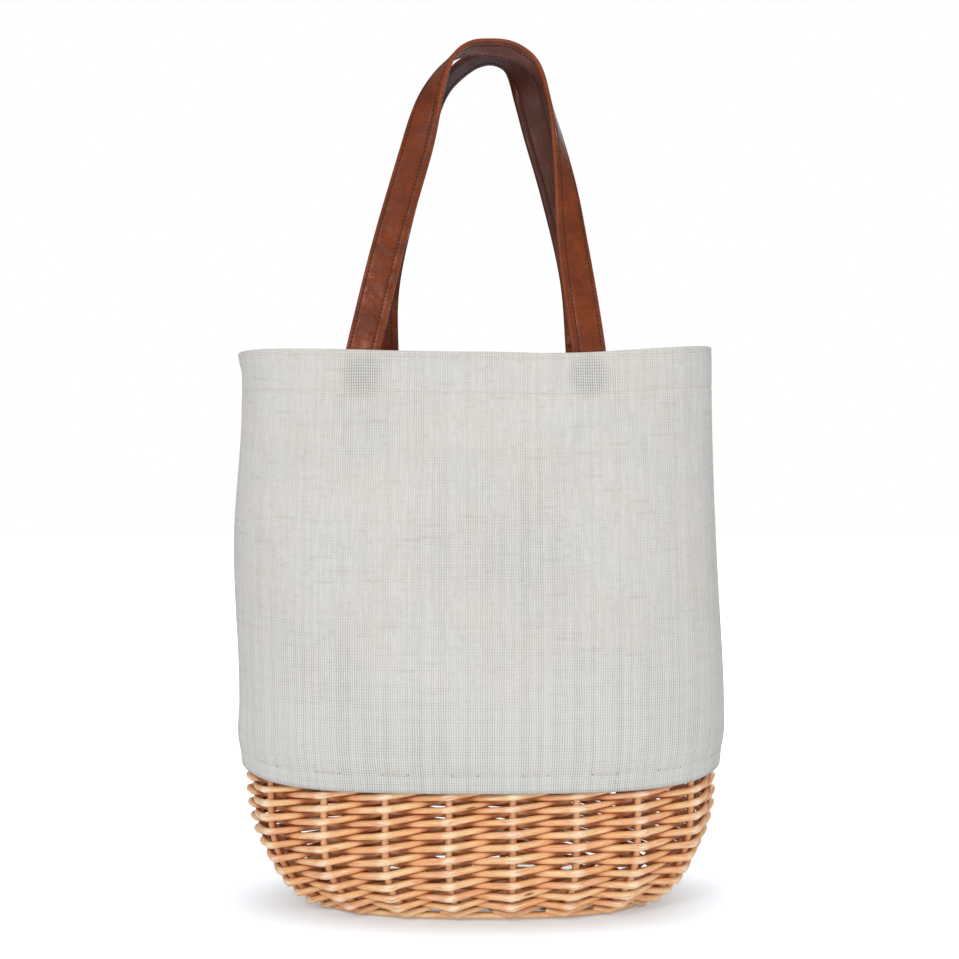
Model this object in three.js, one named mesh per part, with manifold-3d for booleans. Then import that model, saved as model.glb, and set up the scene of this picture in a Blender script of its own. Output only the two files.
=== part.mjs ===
// Basket tote bag: an oval willow basket, a canvas tube sewn round its rim and two strap handles.
// Millimetres, +Z up, front towards -Y, +X to the right, origin at the bottom centre.
import * as THREE from 'three';
import { mergeVertices } from 'three/addons/utils/BufferGeometryUtils.js';
import Module from 'manifold-3d';

const wasm = await Module();
wasm.setup();

// Basket, measured on the middle of its wall
const RIM_HALF_LENGTH = 168;
const RIM_HALF_DEPTH = 68;
const RIM_HEIGHT = 115;
const BASE_HALF_LENGTH = 112;
const BASE_HALF_DEPTH = 43;
const BASKET_ROUNDNESS = 2.5;
const END_CURVE_HEIGHT = 75;
const FRONT_CURVE_HEIGHT = 40;

// Willow rods
const CROSS_STAKES = 8;
const STAKE_DIAMETER = 5.5;
const STAKE_SIDES = 6;
const STAKE_LEAN = 0.13;
const STAKE_FAN = 0.2;
const WEAVER_DIAMETER = 4.1;
const WEAVER_SIDES = 5;
const ROW_GAP = 0.4;
const FIRST_ROW_RISE = 7.2;
const BASE_ROD_SPACING = 6.4;
const BASE_ROD_TAIL = 5;
const EDGE_ROD_OUT = 3.5;
const EDGE_ROD_STEPS = 24;
const HOOP_DIAMETER = 6;
const HOOP_SIDES = 5;
const HOOP_STEPS = 36;
const ROD_CLEARANCE = 0.35;
const FLOOR_CUT = 0.5;

// Canvas, measured on its outside
const CANVAS_THICKNESS = 1.5;
const CANVAS_CLEARANCE = 0.8;
const CANVAS_LAP = 16;
const CANVAS_BULGE = 3;
const CANVAS_BULGE_HEIGHT = 60;
const MOUTH_HALF_LENGTH = 177.5;
const MOUTH_HALF_DEPTH = 67;
const MOUTH_FLATNESS = 3.5;
const MOUTH_HEIGHT = 401;
const SEAM_RISE = 9;
const HEM_DEPTH = 30;
const HEM_THICKNESS = 3;
const SEAM_GAP = 0.3;
const PANEL_STEPS = 18;

// Strap handles
const STRAP_WIDTH = 24;
const STRAP_LAYER = 1.5;
const STRAP_GAP = 0.3;
const STRAP_STEPS = 30;
const STRAP_END_LENGTH = 29;
const STRAP_SPREAD = 158;
const HANDLE_RISE = 227.5;
const HANDLE_GAP = 1;
const SEAT_GAP = 0.3;
// Where each handle passes, as shares of its half spread and of its rise, seen from its own side of the bag, how far it
// is sewn to the side of the middle, the shares of its length between which the strap turns from face on to flat on top,
// and back, and how far it turns. The front handle bows out to the right and the rear one nests behind it.
const FRONT_HANDLE = {
  stops: [
    [-1, 0],
    [-0.79, 0.33],
    [-0.556, 0.64],
    [-0.389, 0.865],
    [-0.226, 0.965],
    [-0.056, 0.998],
    [0.11, 1],
    [0.344, 0.987],
    [0.55, 0.932],
    [0.695, 0.79],
    [0.807, 0.57],
    [0.877, 0.33],
    [1, 0],
  ],
  shift: -3.5,
  leftTurn: [0.27, 0.53],
  rightTurn: [0.55, 0.98],
  topAngle: 90,
};
const REAR_HANDLE = {
  stops: [
    [-1, 0],
    [-0.92, 0.29],
    [-0.724, 0.565],
    [-0.55, 0.75],
    [-0.36, 0.94],
    [-0.253, 0.99],
    [-0.09, 1.01],
    [0.032, 0.998],
    [0.133, 0.974],
    [0.348, 0.911],
    [0.513, 0.82],
    [0.778, 0.556],
    [0.984, 0.256],
    [1, 0],
  ],
  shift: -1.5,
  leftTurn: [0.36, 0.49],
  rightTurn: [0.56, 0.74],
  topAngle: 68,
};

// Derived sizes
const STAKE_ENDS = 2 * CROSS_STAKES + 2;
const END_STAKE = STAKE_ENDS / 2;
const STAKE_RADIUS = STAKE_DIAMETER / 2;
const STAKE_FLAT = STAKE_RADIUS * Math.cos(Math.PI / STAKE_SIDES);
const WEAVER_RADIUS = WEAVER_DIAMETER / 2;
const HOOP_RADIUS = HOOP_DIAMETER / 2;
const HOOP_OFFSET = STAKE_FLAT + HOOP_RADIUS + ROD_CLEARANCE;
const HOOP_HEIGHT = RIM_HEIGHT - HOOP_RADIUS;
const LONG_STAKE_LIFT = 2 * STAKE_FLAT + ROD_CLEARANCE;
const STRAP_THICKNESS = 2 * STRAP_LAYER + STRAP_GAP;

const WILLOW = new THREE.MeshStandardMaterial({ color: 0xd3a06a, roughness: 0.62, metalness: 0 });
const STAKE_WILLOW = new THREE.MeshStandardMaterial({ color: 0xc08a55, roughness: 0.66, metalness: 0 });
const CANVAS = new THREE.MeshStandardMaterial({ color: 0xdcd9d2, roughness: 0.92, metalness: 0 });
const LEATHER = new THREE.MeshStandardMaterial({ color: 0x86472c, roughness: 0.55, metalness: 0 });

const up = new THREE.Vector3(0, 0, 1);
const lerp = THREE.MathUtils.lerp;
const smoothstep = THREE.MathUtils.smoothstep;

function namedMesh(name, geometry, material) {
  const mesh = new THREE.Mesh(geometry, material);
  mesh.name = name;
  return mesh;
}

// A closed oval, |x / a|^n + |y / b|^n = 1, walked at an even pace: share 0 is the left end, 0.25 the front.
function makeOval(halfLength, halfDepth, roundness) {
  const samples = 720;
  const points = [];
  for (let i = 0; i < samples; i += 1) {
    const angle = Math.PI + (2 * Math.PI * i) / samples;
    const cos = Math.cos(angle);
    const sin = Math.sin(angle);
    const x = halfLength * Math.sign(cos) * Math.abs(cos) ** (2 / roundness);
    const y = halfDepth * Math.sign(sin) * Math.abs(sin) ** (2 / roundness);
    points.push(new THREE.Vector3(x, y, 0));
  }
  points.push(points[0].clone());
  const lengths = [0];
  for (let i = 1; i <= samples; i += 1) lengths.push(lengths[i - 1] + points[i].distanceTo(points[i - 1]));
  return function pointAt(share) {
    const target = (share - Math.floor(share)) * lengths[samples];
    let low = 0;
    let high = samples;
    while (high - low > 1) {
      const middle = (low + high) >> 1;
      if (lengths[middle] <= target) low = middle;
      else high = middle;
    }
    const part = (target - lengths[low]) / (lengths[high] - lengths[low]);
    return points[low].clone().lerp(points[high], part);
  };
}

// Depth of an oval at a given x
function ovalDepth(x, halfLength, halfDepth, roundness) {
  return halfDepth * (1 - Math.min(1, Math.abs(x) / halfLength) ** roundness) ** (1 / roundness);
}

// A rod of a few sides along a list of points, whose first corner or flat faces the given normals.
function rodGeometry(points, normals, radius, sides, { closed = false, flatOut = false } = {}) {
  const count = points.length;
  const positions = [];
  const indices = [];
  const turn = flatOut ? Math.PI / sides : 0;
  const tangent = new THREE.Vector3();
  const across = new THREE.Vector3();
  const side = new THREE.Vector3();
  for (let i = 0; i < count; i += 1) {
    const before = closed ? (i + count - 1) % count : Math.max(0, i - 1);
    const after = closed ? (i + 1) % count : Math.min(count - 1, i + 1);
    tangent.subVectors(points[after], points[before]).normalize();
    across.copy(normals[i]).addScaledVector(tangent, -normals[i].dot(tangent)).normalize();
    side.crossVectors(tangent, across);
    for (let k = 0; k < sides; k += 1) {
      const angle = turn + (2 * Math.PI * k) / sides;
      const corner = points[i].clone();
      corner.addScaledVector(across, radius * Math.cos(angle));
      corner.addScaledVector(side, radius * Math.sin(angle));
      positions.push(corner.x, corner.y, corner.z);
    }
  }
  const spans = closed ? count : count - 1;
  for (let i = 0; i < spans; i += 1) {
    const here = i * sides;
    const next = ((i + 1) % count) * sides;
    for (let k = 0; k < sides; k += 1) {
      const l = (k + 1) % sides;
      indices.push(here + k, here + l, next + l, here + k, next + l, next + k);
    }
  }
  if (!closed) {
    const last = (count - 1) * sides;
    for (let k = 1; k < sides - 1; k += 1) {
      indices.push(0, k + 1, k);
      indices.push(last, last + k, last + k + 1);
    }
  }
  const geometry = new THREE.BufferGeometry();
  geometry.setAttribute('position', new THREE.Float32BufferAttribute(positions, 3));
  geometry.setIndex(indices);
  return geometry;
}

// A closed sheet lofted through rings: half of each ring is one face and half the other, split along like diagonals.
function loftGeometry(rings, caps) {
  const corners = rings[0].length;
  const positions = [];
  const indices = [];
  for (const ring of rings) {
    for (const corner of ring) positions.push(corner.x, corner.y, corner.z);
  }
  for (let i = 0; i < rings.length - 1; i += 1) {
    const here = i * corners;
    const next = here + corners;
    for (let k = 0; k < corners; k += 1) {
      const l = (k + 1) % corners;
      if (k < corners / 2) indices.push(here + k, here + l, next + l, here + k, next + l, next + k);
      else indices.push(here + k, here + l, next + k, here + l, next + l, next + k);
    }
  }
  const last = (rings.length - 1) * corners;
  for (const [a, b, c] of caps) {
    indices.push(a, c, b);
    indices.push(last + a, last + b, last + c);
  }
  const geometry = new THREE.BufferGeometry();
  geometry.setAttribute('position', new THREE.Float32BufferAttribute(positions, 3));
  geometry.setIndex(indices);
  return geometry;
}

function toSolid(geometry) {
  const merged = mergeVertices(geometry);
  const vertProperties = new Float32Array(merged.attributes.position.array);
  const triVerts = new Uint32Array(merged.index.array);
  return new wasm.Manifold(new wasm.Mesh({ numProp: 3, vertProperties, triVerts }));
}

// Cuts away what lies below the surface that the bag stands on.
function cutAtFloor(geometry) {
  const reach = 2 * RIM_HALF_LENGTH;
  const slab = new THREE.BoxGeometry(reach, reach, BASE_HEIGHT);
  slab.translate(0, 0, -BASE_HEIGHT / 2);
  slab.deleteAttribute('normal');
  slab.deleteAttribute('uv');
  const mesh = toSolid(geometry).subtract(toSolid(slab)).getMesh();
  const cut = new THREE.BufferGeometry();
  cut.setAttribute('position', new THREE.Float32BufferAttribute(mesh.vertProperties, 3));
  cut.setIndex(Array.from(mesh.triVerts));
  return cut;
}

// Basket wall

const rimOval = makeOval(RIM_HALF_LENGTH, RIM_HALF_DEPTH, BASKET_ROUNDNESS);

// Number of stakes from a place to the nearer end of the oval
function stakesToEnd(stake) {
  const place = ((stake % END_STAKE) + END_STAKE) % END_STAKE;
  return Math.min(place, END_STAKE - place);
}

// Where a stake turns up from the base, in plan: a smaller oval, which the weaving has twisted a little.
// The stakes fan out towards the two ends.
function edgePoint(stake) {
  const fan = STAKE_FAN * Math.sin((4 * Math.PI * stake) / STAKE_ENDS);
  const lean = STAKE_LEAN * Math.min(1, stakesToEnd(stake));
  const rim = rimOval((stake + lean - fan) / STAKE_ENDS);
  const x = (rim.x * BASE_HALF_LENGTH) / RIM_HALF_LENGTH;
  const y = (rim.y * BASE_HALF_DEPTH) / RIM_HALF_DEPTH;
  return new THREE.Vector3(x, y, 0);
}

// Distance from the middle of a stake to the middle of a rod that swaps sides from one stake to the next
function crossingOffset(bay) {
  let offset = STAKE_FLAT + WEAVER_RADIUS + ROD_CLEARANCE;
  for (let i = 0; i < 4; i += 1) {
    const slope = (2 * offset) / bay;
    offset = STAKE_FLAT + (STAKE_RADIUS / 2) * slope + WEAVER_RADIUS * Math.hypot(1, slope) + ROD_CLEARANCE;
  }
  return offset;
}

const baseBay = edgePoint(END_STAKE / 2 - 0.5).distanceTo(edgePoint(END_STAKE / 2 + 0.5));
const BASE_OFFSET = crossingOffset(baseBay);
const BASE_HEIGHT = BASE_OFFSET + WEAVER_RADIUS * Math.cos(Math.PI / WEAVER_SIDES) - FLOOR_CUT;

// The long stake lies on the cross stakes, so the base rises to its two ends.
function baseLift(stake) {
  return LONG_STAKE_LIFT * Math.max(0, 1 - stakesToEnd(stake));
}

// The wall's line from the base edge (share 0) up to the rim (share 1) at a stake, at an even pace
function wallLine(stake) {
  const edge = edgePoint(stake);
  const rim = rimOval(stake / STAKE_ENDS);
  const endness = (Math.abs(rim.x) / RIM_HALF_LENGTH) ** 2;
  const curve = lerp(FRONT_CURVE_HEIGHT, END_CURVE_HEIGHT, endness);
  const foot = BASE_HEIGHT + baseLift(stake);
  const line = [];
  const steps = 24;
  for (let i = 0; i <= steps; i += 1) {
    const angle = (Math.PI / 2) * (i / steps);
    const point = edge.clone().lerp(rim, Math.sin(angle));
    point.z = foot + curve * (1 - Math.cos(angle));
    line.push(point);
  }
  line.push(new THREE.Vector3(rim.x, rim.y, RIM_HEIGHT));
  const lengths = [0];
  for (let i = 1; i < line.length; i += 1) lengths.push(lengths[i - 1] + line[i].distanceTo(line[i - 1]));
  const length = lengths[lengths.length - 1];
  return { line, lengths, length, curveTop: lengths[steps] / length };
}

function wallPoint(stake, share) {
  const { line, lengths, length } = wallLine(stake);
  const target = share * length;
  let i = 1;
  while (i < line.length - 1 && lengths[i] < target) i += 1;
  return line[i - 1].clone().lerp(line[i], (target - lengths[i - 1]) / (lengths[i] - lengths[i - 1]));
}

function wallNormal(stake, share) {
  const step = 0.02;
  const low = Math.max(0, share - step);
  const high = Math.min(1, share + step);
  const along = wallPoint(stake + step, share).sub(wallPoint(stake - step, share));
  const upward = wallPoint(stake, high).sub(wallPoint(stake, low));
  return along.cross(upward).normalize();
}

// Rows of weaving: as many as fit on the shortest line of the wall
const shortestLine = wallLine(END_STAKE / 2).length;
const FIRST_ROW = FIRST_ROW_RISE / shortestLine;
const LAST_ROW = 1 - (HOOP_DIAMETER + WEAVER_RADIUS + 2 * ROD_CLEARANCE) / shortestLine;
const ROWS = Math.floor(((LAST_ROW - FIRST_ROW) * shortestLine) / (WEAVER_DIAMETER + ROW_GAP));

function rowShare(row) {
  return lerp(FIRST_ROW, LAST_ROW, row / ROWS);
}

// Each weaver starts at its own stake, passes it on the outside, the next on the inside, and climbs a row each time.
function sideWeaver(start) {
  const points = [];
  const normals = [];
  for (let half = 0; half <= 2 * ROWS; half += 1) {
    const row = half / 2;
    const stake = start + row;
    const share = rowShare(row);
    const normal = wallNormal(stake, share);
    const bay = wallPoint(stake + 0.5, share).distanceTo(wallPoint(stake - 0.5, share));
    const offset = crossingOffset(bay) * Math.cos(Math.PI * row);
    points.push(wallPoint(stake, share).addScaledVector(normal, offset));
    normals.push(normal);
  }
  return rodGeometry(points, normals, WEAVER_RADIUS, WEAVER_SIDES);
}

// Points of one stake from the rim straight down, and round to the edge of the base
function stakeSide(stake) {
  const { curveTop } = wallLine(stake);
  const shares = [1, curveTop];
  const topInsideRow = ROWS - 1 + (ROWS % 2);
  for (let row = topInsideRow; row > 0; row -= 2) {
    if (rowShare(row) < curveTop) shares.push(rowShare(row));
  }
  shares.push(0);
  return shares.map((share) => ({ point: wallPoint(stake, share), normal: wallNormal(stake, share) }));
}

// A stake from rim to rim by way of the base
function stakeRod(from, to) {
  const route = [...stakeSide(from), ...stakeSide(to).reverse()];
  return rodGeometry(
    route.map((stop) => stop.point),
    route.map((stop) => stop.normal),
    STAKE_RADIUS,
    STAKE_SIDES,
    { flatOut: true },
  );
}

// A straight rod woven over and under the cross stakes that reach it, to the front (-1) or rear (1) of the long stake
function baseRod(side, index) {
  const y = side * index * BASE_ROD_SPACING;
  const points = [];
  for (let stake = 1; stake <= CROSS_STAKES; stake += 1) {
    const front = edgePoint(stake);
    const rear = edgePoint(STAKE_ENDS - stake);
    const point = front.clone().lerp(rear, (y - front.y) / (rear.y - front.y));
    const over = (index + stake) % 2 === 0 ? 1 : -1;
    point.z = BASE_HEIGHT + over * BASE_OFFSET;
    const reach = Math.min(Math.abs(front.y), Math.abs(rear.y)) - WEAVER_RADIUS;
    if (Math.abs(y) < reach) points.push(point);
  }
  const first = points[0].clone();
  const last = points[points.length - 1].clone();
  first.x -= BASE_ROD_TAIL;
  last.x += BASE_ROD_TAIL;
  for (const tail of [first, last]) {
    tail.z = lerp(tail.z, BASE_HEIGHT, (2 * BASE_ROD_TAIL) / baseBay);
  }
  const route = [first, ...points, last];
  const normals = route.map(() => up);
  return cutAtFloor(rodGeometry(route, normals, WEAVER_RADIUS, WEAVER_SIDES));
}

// A rod laid round the edge of the base, under the stakes where they turn up
function edgeRod() {
  const points = [];
  const normals = [];
  for (let i = 0; i < EDGE_ROD_STEPS; i += 1) {
    const stake = (i * STAKE_ENDS) / EDGE_ROD_STEPS;
    const step = 0.1;
    const outward = edgePoint(stake + step).sub(edgePoint(stake - step)).cross(up).normalize();
    const point = edgePoint(stake).addScaledVector(outward, EDGE_ROD_OUT);
    point.z = BASE_HEIGHT - STAKE_FLAT - WEAVER_RADIUS - ROD_CLEARANCE;
    points.push(point);
    normals.push(up);
  }
  return rodGeometry(points, normals, WEAVER_RADIUS, WEAVER_SIDES, { closed: true });
}

function rimHoop(side) {
  const points = [];
  const normals = [];
  for (let i = 0; i < HOOP_STEPS; i += 1) {
    const stake = (i * STAKE_ENDS) / HOOP_STEPS;
    const normal = wallNormal(stake, 1);
    const point = wallPoint(stake, 1).addScaledVector(normal, side * HOOP_OFFSET);
    point.z = HOOP_HEIGHT;
    points.push(point);
    normals.push(normal);
  }
  return rodGeometry(points, normals, HOOP_RADIUS, HOOP_SIDES, { closed: true });
}

function buildBasket() {
  const basket = new THREE.Group();
  for (let stake = 1; stake <= CROSS_STAKES; stake += 1) {
    basket.add(namedMesh(`cross_stake_${stake}`, stakeRod(stake, STAKE_ENDS - stake), STAKE_WILLOW));
  }
  basket.add(namedMesh('long_stake', stakeRod(0, END_STAKE), STAKE_WILLOW));
  const baseRods = Math.floor((BASE_HALF_DEPTH - WEAVER_DIAMETER) / BASE_ROD_SPACING);
  for (let i = 1; i <= baseRods; i += 1) {
    basket.add(namedMesh(`base_rod_front_${i}`, baseRod(-1, i), WILLOW));
    basket.add(namedMesh(`base_rod_rear_${i}`, baseRod(1, i), WILLOW));
  }
  basket.add(namedMesh('base_edge_rod', edgeRod(), WILLOW));
  for (let i = 0; i < STAKE_ENDS; i += 1) {
    basket.add(namedMesh(`side_weaver_${String(i + 1).padStart(2, '0')}`, sideWeaver(i), WILLOW));
  }
  basket.add(namedMesh('rim_hoop_outer', rimHoop(1), STAKE_WILLOW));
  basket.add(namedMesh('rim_hoop_inner', rimHoop(-1), STAKE_WILLOW));
  return basket;
}

// Canvas

const rimBay = rimOval(0).distanceTo(rimOval(1 / STAKE_ENDS));
const weaveReach = crossingOffset(rimBay) + WEAVER_RADIUS + CANVAS_CLEARANCE + CANVAS_THICKNESS;
const hoopReach = HOOP_OFFSET + HOOP_RADIUS + CANVAS_CLEARANCE + CANVAS_THICKNESS;
const canvasFoot = HOOP_HEIGHT - CANVAS_LAP;
const bulgeHeight = HOOP_HEIGHT + CANVAS_BULGE_HEIGHT;

// Height of the mouth's edge, which sags between the side seams
function mouthHeight(x) {
  return MOUTH_HEIGHT + SEAM_RISE * (Math.abs(x) / MOUTH_HALF_LENGTH) ** 2;
}

// Levels of the canvas from its lower edge to the mouth: outside half sizes, squareness and wall
function canvasLevels() {
  const hemShare = 1 - HEM_DEPTH / (MOUTH_HEIGHT - bulgeHeight);
  const mouth = { length: MOUTH_HALF_LENGTH, depth: MOUTH_HALF_DEPTH, roundness: MOUTH_FLATNESS };
  const bulge = {
    length: RIM_HALF_LENGTH + hoopReach + CANVAS_BULGE,
    depth: RIM_HALF_DEPTH + hoopReach + CANVAS_BULGE,
    roundness: BASKET_ROUNDNESS,
  };
  const rim = { length: RIM_HALF_LENGTH + hoopReach, depth: RIM_HALF_DEPTH + hoopReach };
  const foot = { length: RIM_HALF_LENGTH + weaveReach, depth: RIM_HALF_DEPTH + weaveReach };
  const low = { roundness: BASKET_ROUNDNESS, share: 0, wall: CANVAS_THICKNESS };
  const levels = [
    { ...foot, ...low, height: canvasFoot },
    { ...foot, ...low, height: HOOP_HEIGHT - HOOP_RADIUS - WEAVER_RADIUS },
    { ...rim, ...low, height: HOOP_HEIGHT - HOOP_RADIUS / 2 },
    { ...rim, ...low, height: HOOP_HEIGHT + HOOP_RADIUS / 2 },
    { ...bulge, ...low, height: bulgeHeight },
  ];
  const addUpper = (share, wall) => {
    const length = lerp(bulge.length, mouth.length, share);
    const depth = lerp(bulge.depth, mouth.depth, share);
    const roundness = lerp(bulge.roundness, mouth.roundness, share);
    levels.push({ length, depth, roundness, height: bulgeHeight, share, wall });
  };
  addUpper(0.5, CANVAS_THICKNESS);
  addUpper(hemShare, CANVAS_THICKNESS);
  addUpper(hemShare, HEM_THICKNESS);
  addUpper(1, HEM_THICKNESS);
  return levels;
}

// One of the two panels, from side seam to side seam: outside corners, then inside corners back
function canvasPanel(front) {
  const rings = canvasLevels().map((level) => {
    const outside = makeOval(level.length, level.depth, level.roundness);
    const inside = makeOval(level.length - level.wall, level.depth - level.wall, level.roundness);
    const start = front ? 0 : 0.5;
    const shift = front ? -SEAM_GAP / 2 : SEAM_GAP / 2;
    const place = (oval, step) => {
      const point = oval(start + (0.5 * step) / PANEL_STEPS);
      if (step === 0 || step === PANEL_STEPS) point.y = 0;
      point.z = lerp(level.height, mouthHeight(point.x), level.share);
      point.y += shift;
      return point;
    };
    const ring = [];
    for (let step = 0; step <= PANEL_STEPS; step += 1) ring.push(place(outside, step));
    for (let step = PANEL_STEPS; step >= 0; step -= 1) ring.push(place(inside, step));
    return ring;
  });
  const caps = [];
  const corners = rings[0].length;
  for (let step = 0; step < PANEL_STEPS; step += 1) {
    caps.push([step, step + 1, corners - 2 - step], [step, corners - 2 - step, corners - 1 - step]);
  }
  return loftGeometry(rings, caps);
}

// Handles

const strapX = STRAP_SPREAD / 2;
const strapOuterX = strapX + STRAP_WIDTH / 2 - Math.min(FRONT_HANDLE.shift, REAR_HANDLE.shift);

// Inside face of the hem, as a distance from the middle plane, at a place and a depth below the mouth
function hemInside(x, below) {
  const share = 1 - below / (mouthHeight(x) - bulgeHeight);
  const bulgeLength = RIM_HALF_LENGTH + hoopReach + CANVAS_BULGE;
  const bulgeDepth = RIM_HALF_DEPTH + hoopReach + CANVAS_BULGE;
  const length = lerp(bulgeLength, MOUTH_HALF_LENGTH, share) - HEM_THICKNESS;
  const depth = lerp(bulgeDepth, MOUTH_HALF_DEPTH, share) - HEM_THICKNESS;
  return ovalDepth(x, length, depth, lerp(BASKET_ROUNDNESS, MOUTH_FLATNESS, share));
}

const hemTop = mouthHeight(strapOuterX);
const strapSeat = hemInside(strapOuterX, 0) - SEAT_GAP - STRAP_THICKNESS / 2;

// Middle line of a handle, which leans in to the other one as it rises
function handleLine({ stops, shift }) {
  const foot = hemTop + SEAT_GAP;
  const apexDepth = STRAP_WIDTH / 2 + HANDLE_GAP / 2;
  const points = stops.map(([across, rise]) => {
    const y = -lerp(strapSeat, apexDepth, Math.min(1, rise));
    return new THREE.Vector3(across * strapX + shift, y, foot + rise * HANDLE_RISE);
  });
  return new THREE.CatmullRomCurve3(points, false, 'centripetal');
}

// Turn of the strap from face on at the hem (0) to flat on top at the apex (1)
function strapTurn({ leftTurn, rightTurn }, share) {
  const left = smoothstep(share, ...leftTurn);
  const right = 1 - smoothstep(share, ...rightTurn);
  return Math.min(left, right);
}

// One layer of the strap between two distances from its middle surface, along the whole handle
function strapLayer(handle, inner, outer) {
  const line = handleLine(handle);
  const first = line.getPoint(0);
  const top = line.getPoint(0.5);
  const lean = new THREE.Vector3(0, top.y - first.y, top.z - first.z).normalize();
  const facing = new THREE.Vector3(0, -lean.z, lean.y);
  const rings = [];
  for (let i = 0; i <= STRAP_STEPS; i += 1) {
    const share = i / STRAP_STEPS;
    const point = line.getPointAt(share);
    const tangent = line.getTangentAt(share);
    if (i === 0) tangent.copy(up);
    if (i === STRAP_STEPS) tangent.copy(up).negate();
    const ends = i === 0 || i === STRAP_STEPS;
    const flat = ends ? new THREE.Vector3(0, -1, 0) : facing.clone();
    flat.addScaledVector(tangent, -flat.dot(tangent)).normalize();
    const outward = flat.clone().cross(tangent);
    const angle = THREE.MathUtils.degToRad(handle.topAngle) * strapTurn(handle, share);
    const normal = flat.multiplyScalar(Math.cos(angle)).addScaledVector(outward, Math.sin(angle));
    const width = normal.clone().cross(tangent);
    const corner = (across, through) => {
      const place = point.clone().addScaledVector(width, (across * STRAP_WIDTH) / 2);
      return place.addScaledVector(normal, through);
    };
    rings.push([corner(-1, inner), corner(1, inner), corner(1, outer), corner(-1, outer)]);
  }
  return loftGeometry(rings, [[0, 1, 2], [0, 2, 3]]);
}

// End of the strap, sewn flat inside the hem
function strapEnd({ shift }, side) {
  const rings = [STRAP_END_LENGTH, 0].map((below) => {
    const seat = hemInside(strapOuterX, below) - SEAT_GAP;
    const z = hemTop - below;
    const left = side * strapX + shift - STRAP_WIDTH / 2;
    const right = side * strapX + shift + STRAP_WIDTH / 2;
    return [
      new THREE.Vector3(left, -seat, z),
      new THREE.Vector3(right, -seat, z),
      new THREE.Vector3(right, -seat + STRAP_THICKNESS, z),
      new THREE.Vector3(left, -seat + STRAP_THICKNESS, z),
    ];
  });
  return loftGeometry(rings, [[0, 1, 2], [0, 2, 3]]);
}

function buildHandle(name, handle) {
  const strap = new THREE.Group();
  const middle = STRAP_GAP / 2;
  strap.add(namedMesh(`${name}_handle_face`, strapLayer(handle, middle, middle + STRAP_LAYER), LEATHER));
  strap.add(namedMesh(`${name}_handle_backing`, strapLayer(handle, -middle - STRAP_LAYER, -middle), LEATHER));
  strap.add(namedMesh(`${name}_strap_end_1`, strapEnd(handle, -1), LEATHER));
  strap.add(namedMesh(`${name}_strap_end_2`, strapEnd(handle, 1), LEATHER));
  return strap;
}

const bag = new THREE.Group();
bag.add(buildBasket());
bag.add(namedMesh('front_canvas_panel', canvasPanel(true), CANVAS));
bag.add(namedMesh('rear_canvas_panel', canvasPanel(false), CANVAS));
bag.add(buildHandle('front', FRONT_HANDLE));
const rearHandle = buildHandle('rear', REAR_HANDLE);
rearHandle.rotation.z = Math.PI;
bag.add(rearHandle);

export default bag;
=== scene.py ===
# %% [markdown]
# # A basket tote bag
# The bag is an oval willow basket, a canvas tube that is sewn round the basket's rim, and two stitched
# straps that are sewn inside the hem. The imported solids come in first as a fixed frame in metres. Each
# piece made below stands for one or more of those solids, so it is made from about the same sizes, with
# a finer surface and a little sag. The stitches are added as trim.

# %% Load the frame
import bisect
import math
import random

import bpy
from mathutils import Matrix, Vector, noise


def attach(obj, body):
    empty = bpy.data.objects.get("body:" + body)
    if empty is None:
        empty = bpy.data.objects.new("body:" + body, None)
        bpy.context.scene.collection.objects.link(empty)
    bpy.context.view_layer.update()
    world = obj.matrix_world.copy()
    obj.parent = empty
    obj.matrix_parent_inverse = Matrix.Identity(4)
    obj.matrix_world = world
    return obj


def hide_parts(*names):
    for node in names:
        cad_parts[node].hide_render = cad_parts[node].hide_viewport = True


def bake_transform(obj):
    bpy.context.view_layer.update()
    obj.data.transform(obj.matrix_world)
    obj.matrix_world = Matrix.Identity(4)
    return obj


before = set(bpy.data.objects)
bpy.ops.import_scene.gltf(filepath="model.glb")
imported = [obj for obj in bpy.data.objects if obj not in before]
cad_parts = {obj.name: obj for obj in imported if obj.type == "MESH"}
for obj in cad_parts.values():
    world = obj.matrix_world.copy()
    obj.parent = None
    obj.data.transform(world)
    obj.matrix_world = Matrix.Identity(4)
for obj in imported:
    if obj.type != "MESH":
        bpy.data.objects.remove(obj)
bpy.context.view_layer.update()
MM = 0.001

# %% [markdown]
# ## Camera
# The photograph looks level at the front, with the basket's inside hidden and the underside of the
# handles just in view. That puts the lens level with the middle of the bag and a bit under a metre
# away.

# %% Camera
lens = bpy.data.cameras.new("camera")
lens.sensor_width = 36.0
lens.lens = 45.4
camera = bpy.data.objects.new("camera", lens)
camera.location = (-0.001, -0.907, 0.312)
camera.rotation_euler = (math.radians(90), 0, 0)
bpy.context.scene.collection.objects.link(camera)
bpy.context.scene.camera = camera
print("camera at", tuple(round(v, 3) for v in camera.location))

# %% [markdown]
# ## Node helpers
# Materials and Geometry Nodes are both trees of nodes. Small helpers add a node, feed a socket, do one
# step of arithmetic, or make a ramp, a mix, a noise or a bump, so that the recipes below read as
# recipes.


# %% Node helpers
def add_node(tree, kind, **settings):
    made = tree.nodes.new(kind)
    for name, value in settings.items():
        setattr(made, name, value)
    return made


def feed(tree, socket, value):
    if isinstance(value, bpy.types.NodeSocket):
        tree.links.new(value, socket)
    else:
        socket.default_value = value


def calc(tree, operation, first, second=None):
    step = add_node(tree, "ShaderNodeMath", operation=operation)
    for socket, value in zip(step.inputs, (first, second)):
        if value is not None:
            feed(tree, socket, value)
    return step.outputs[0]


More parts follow.
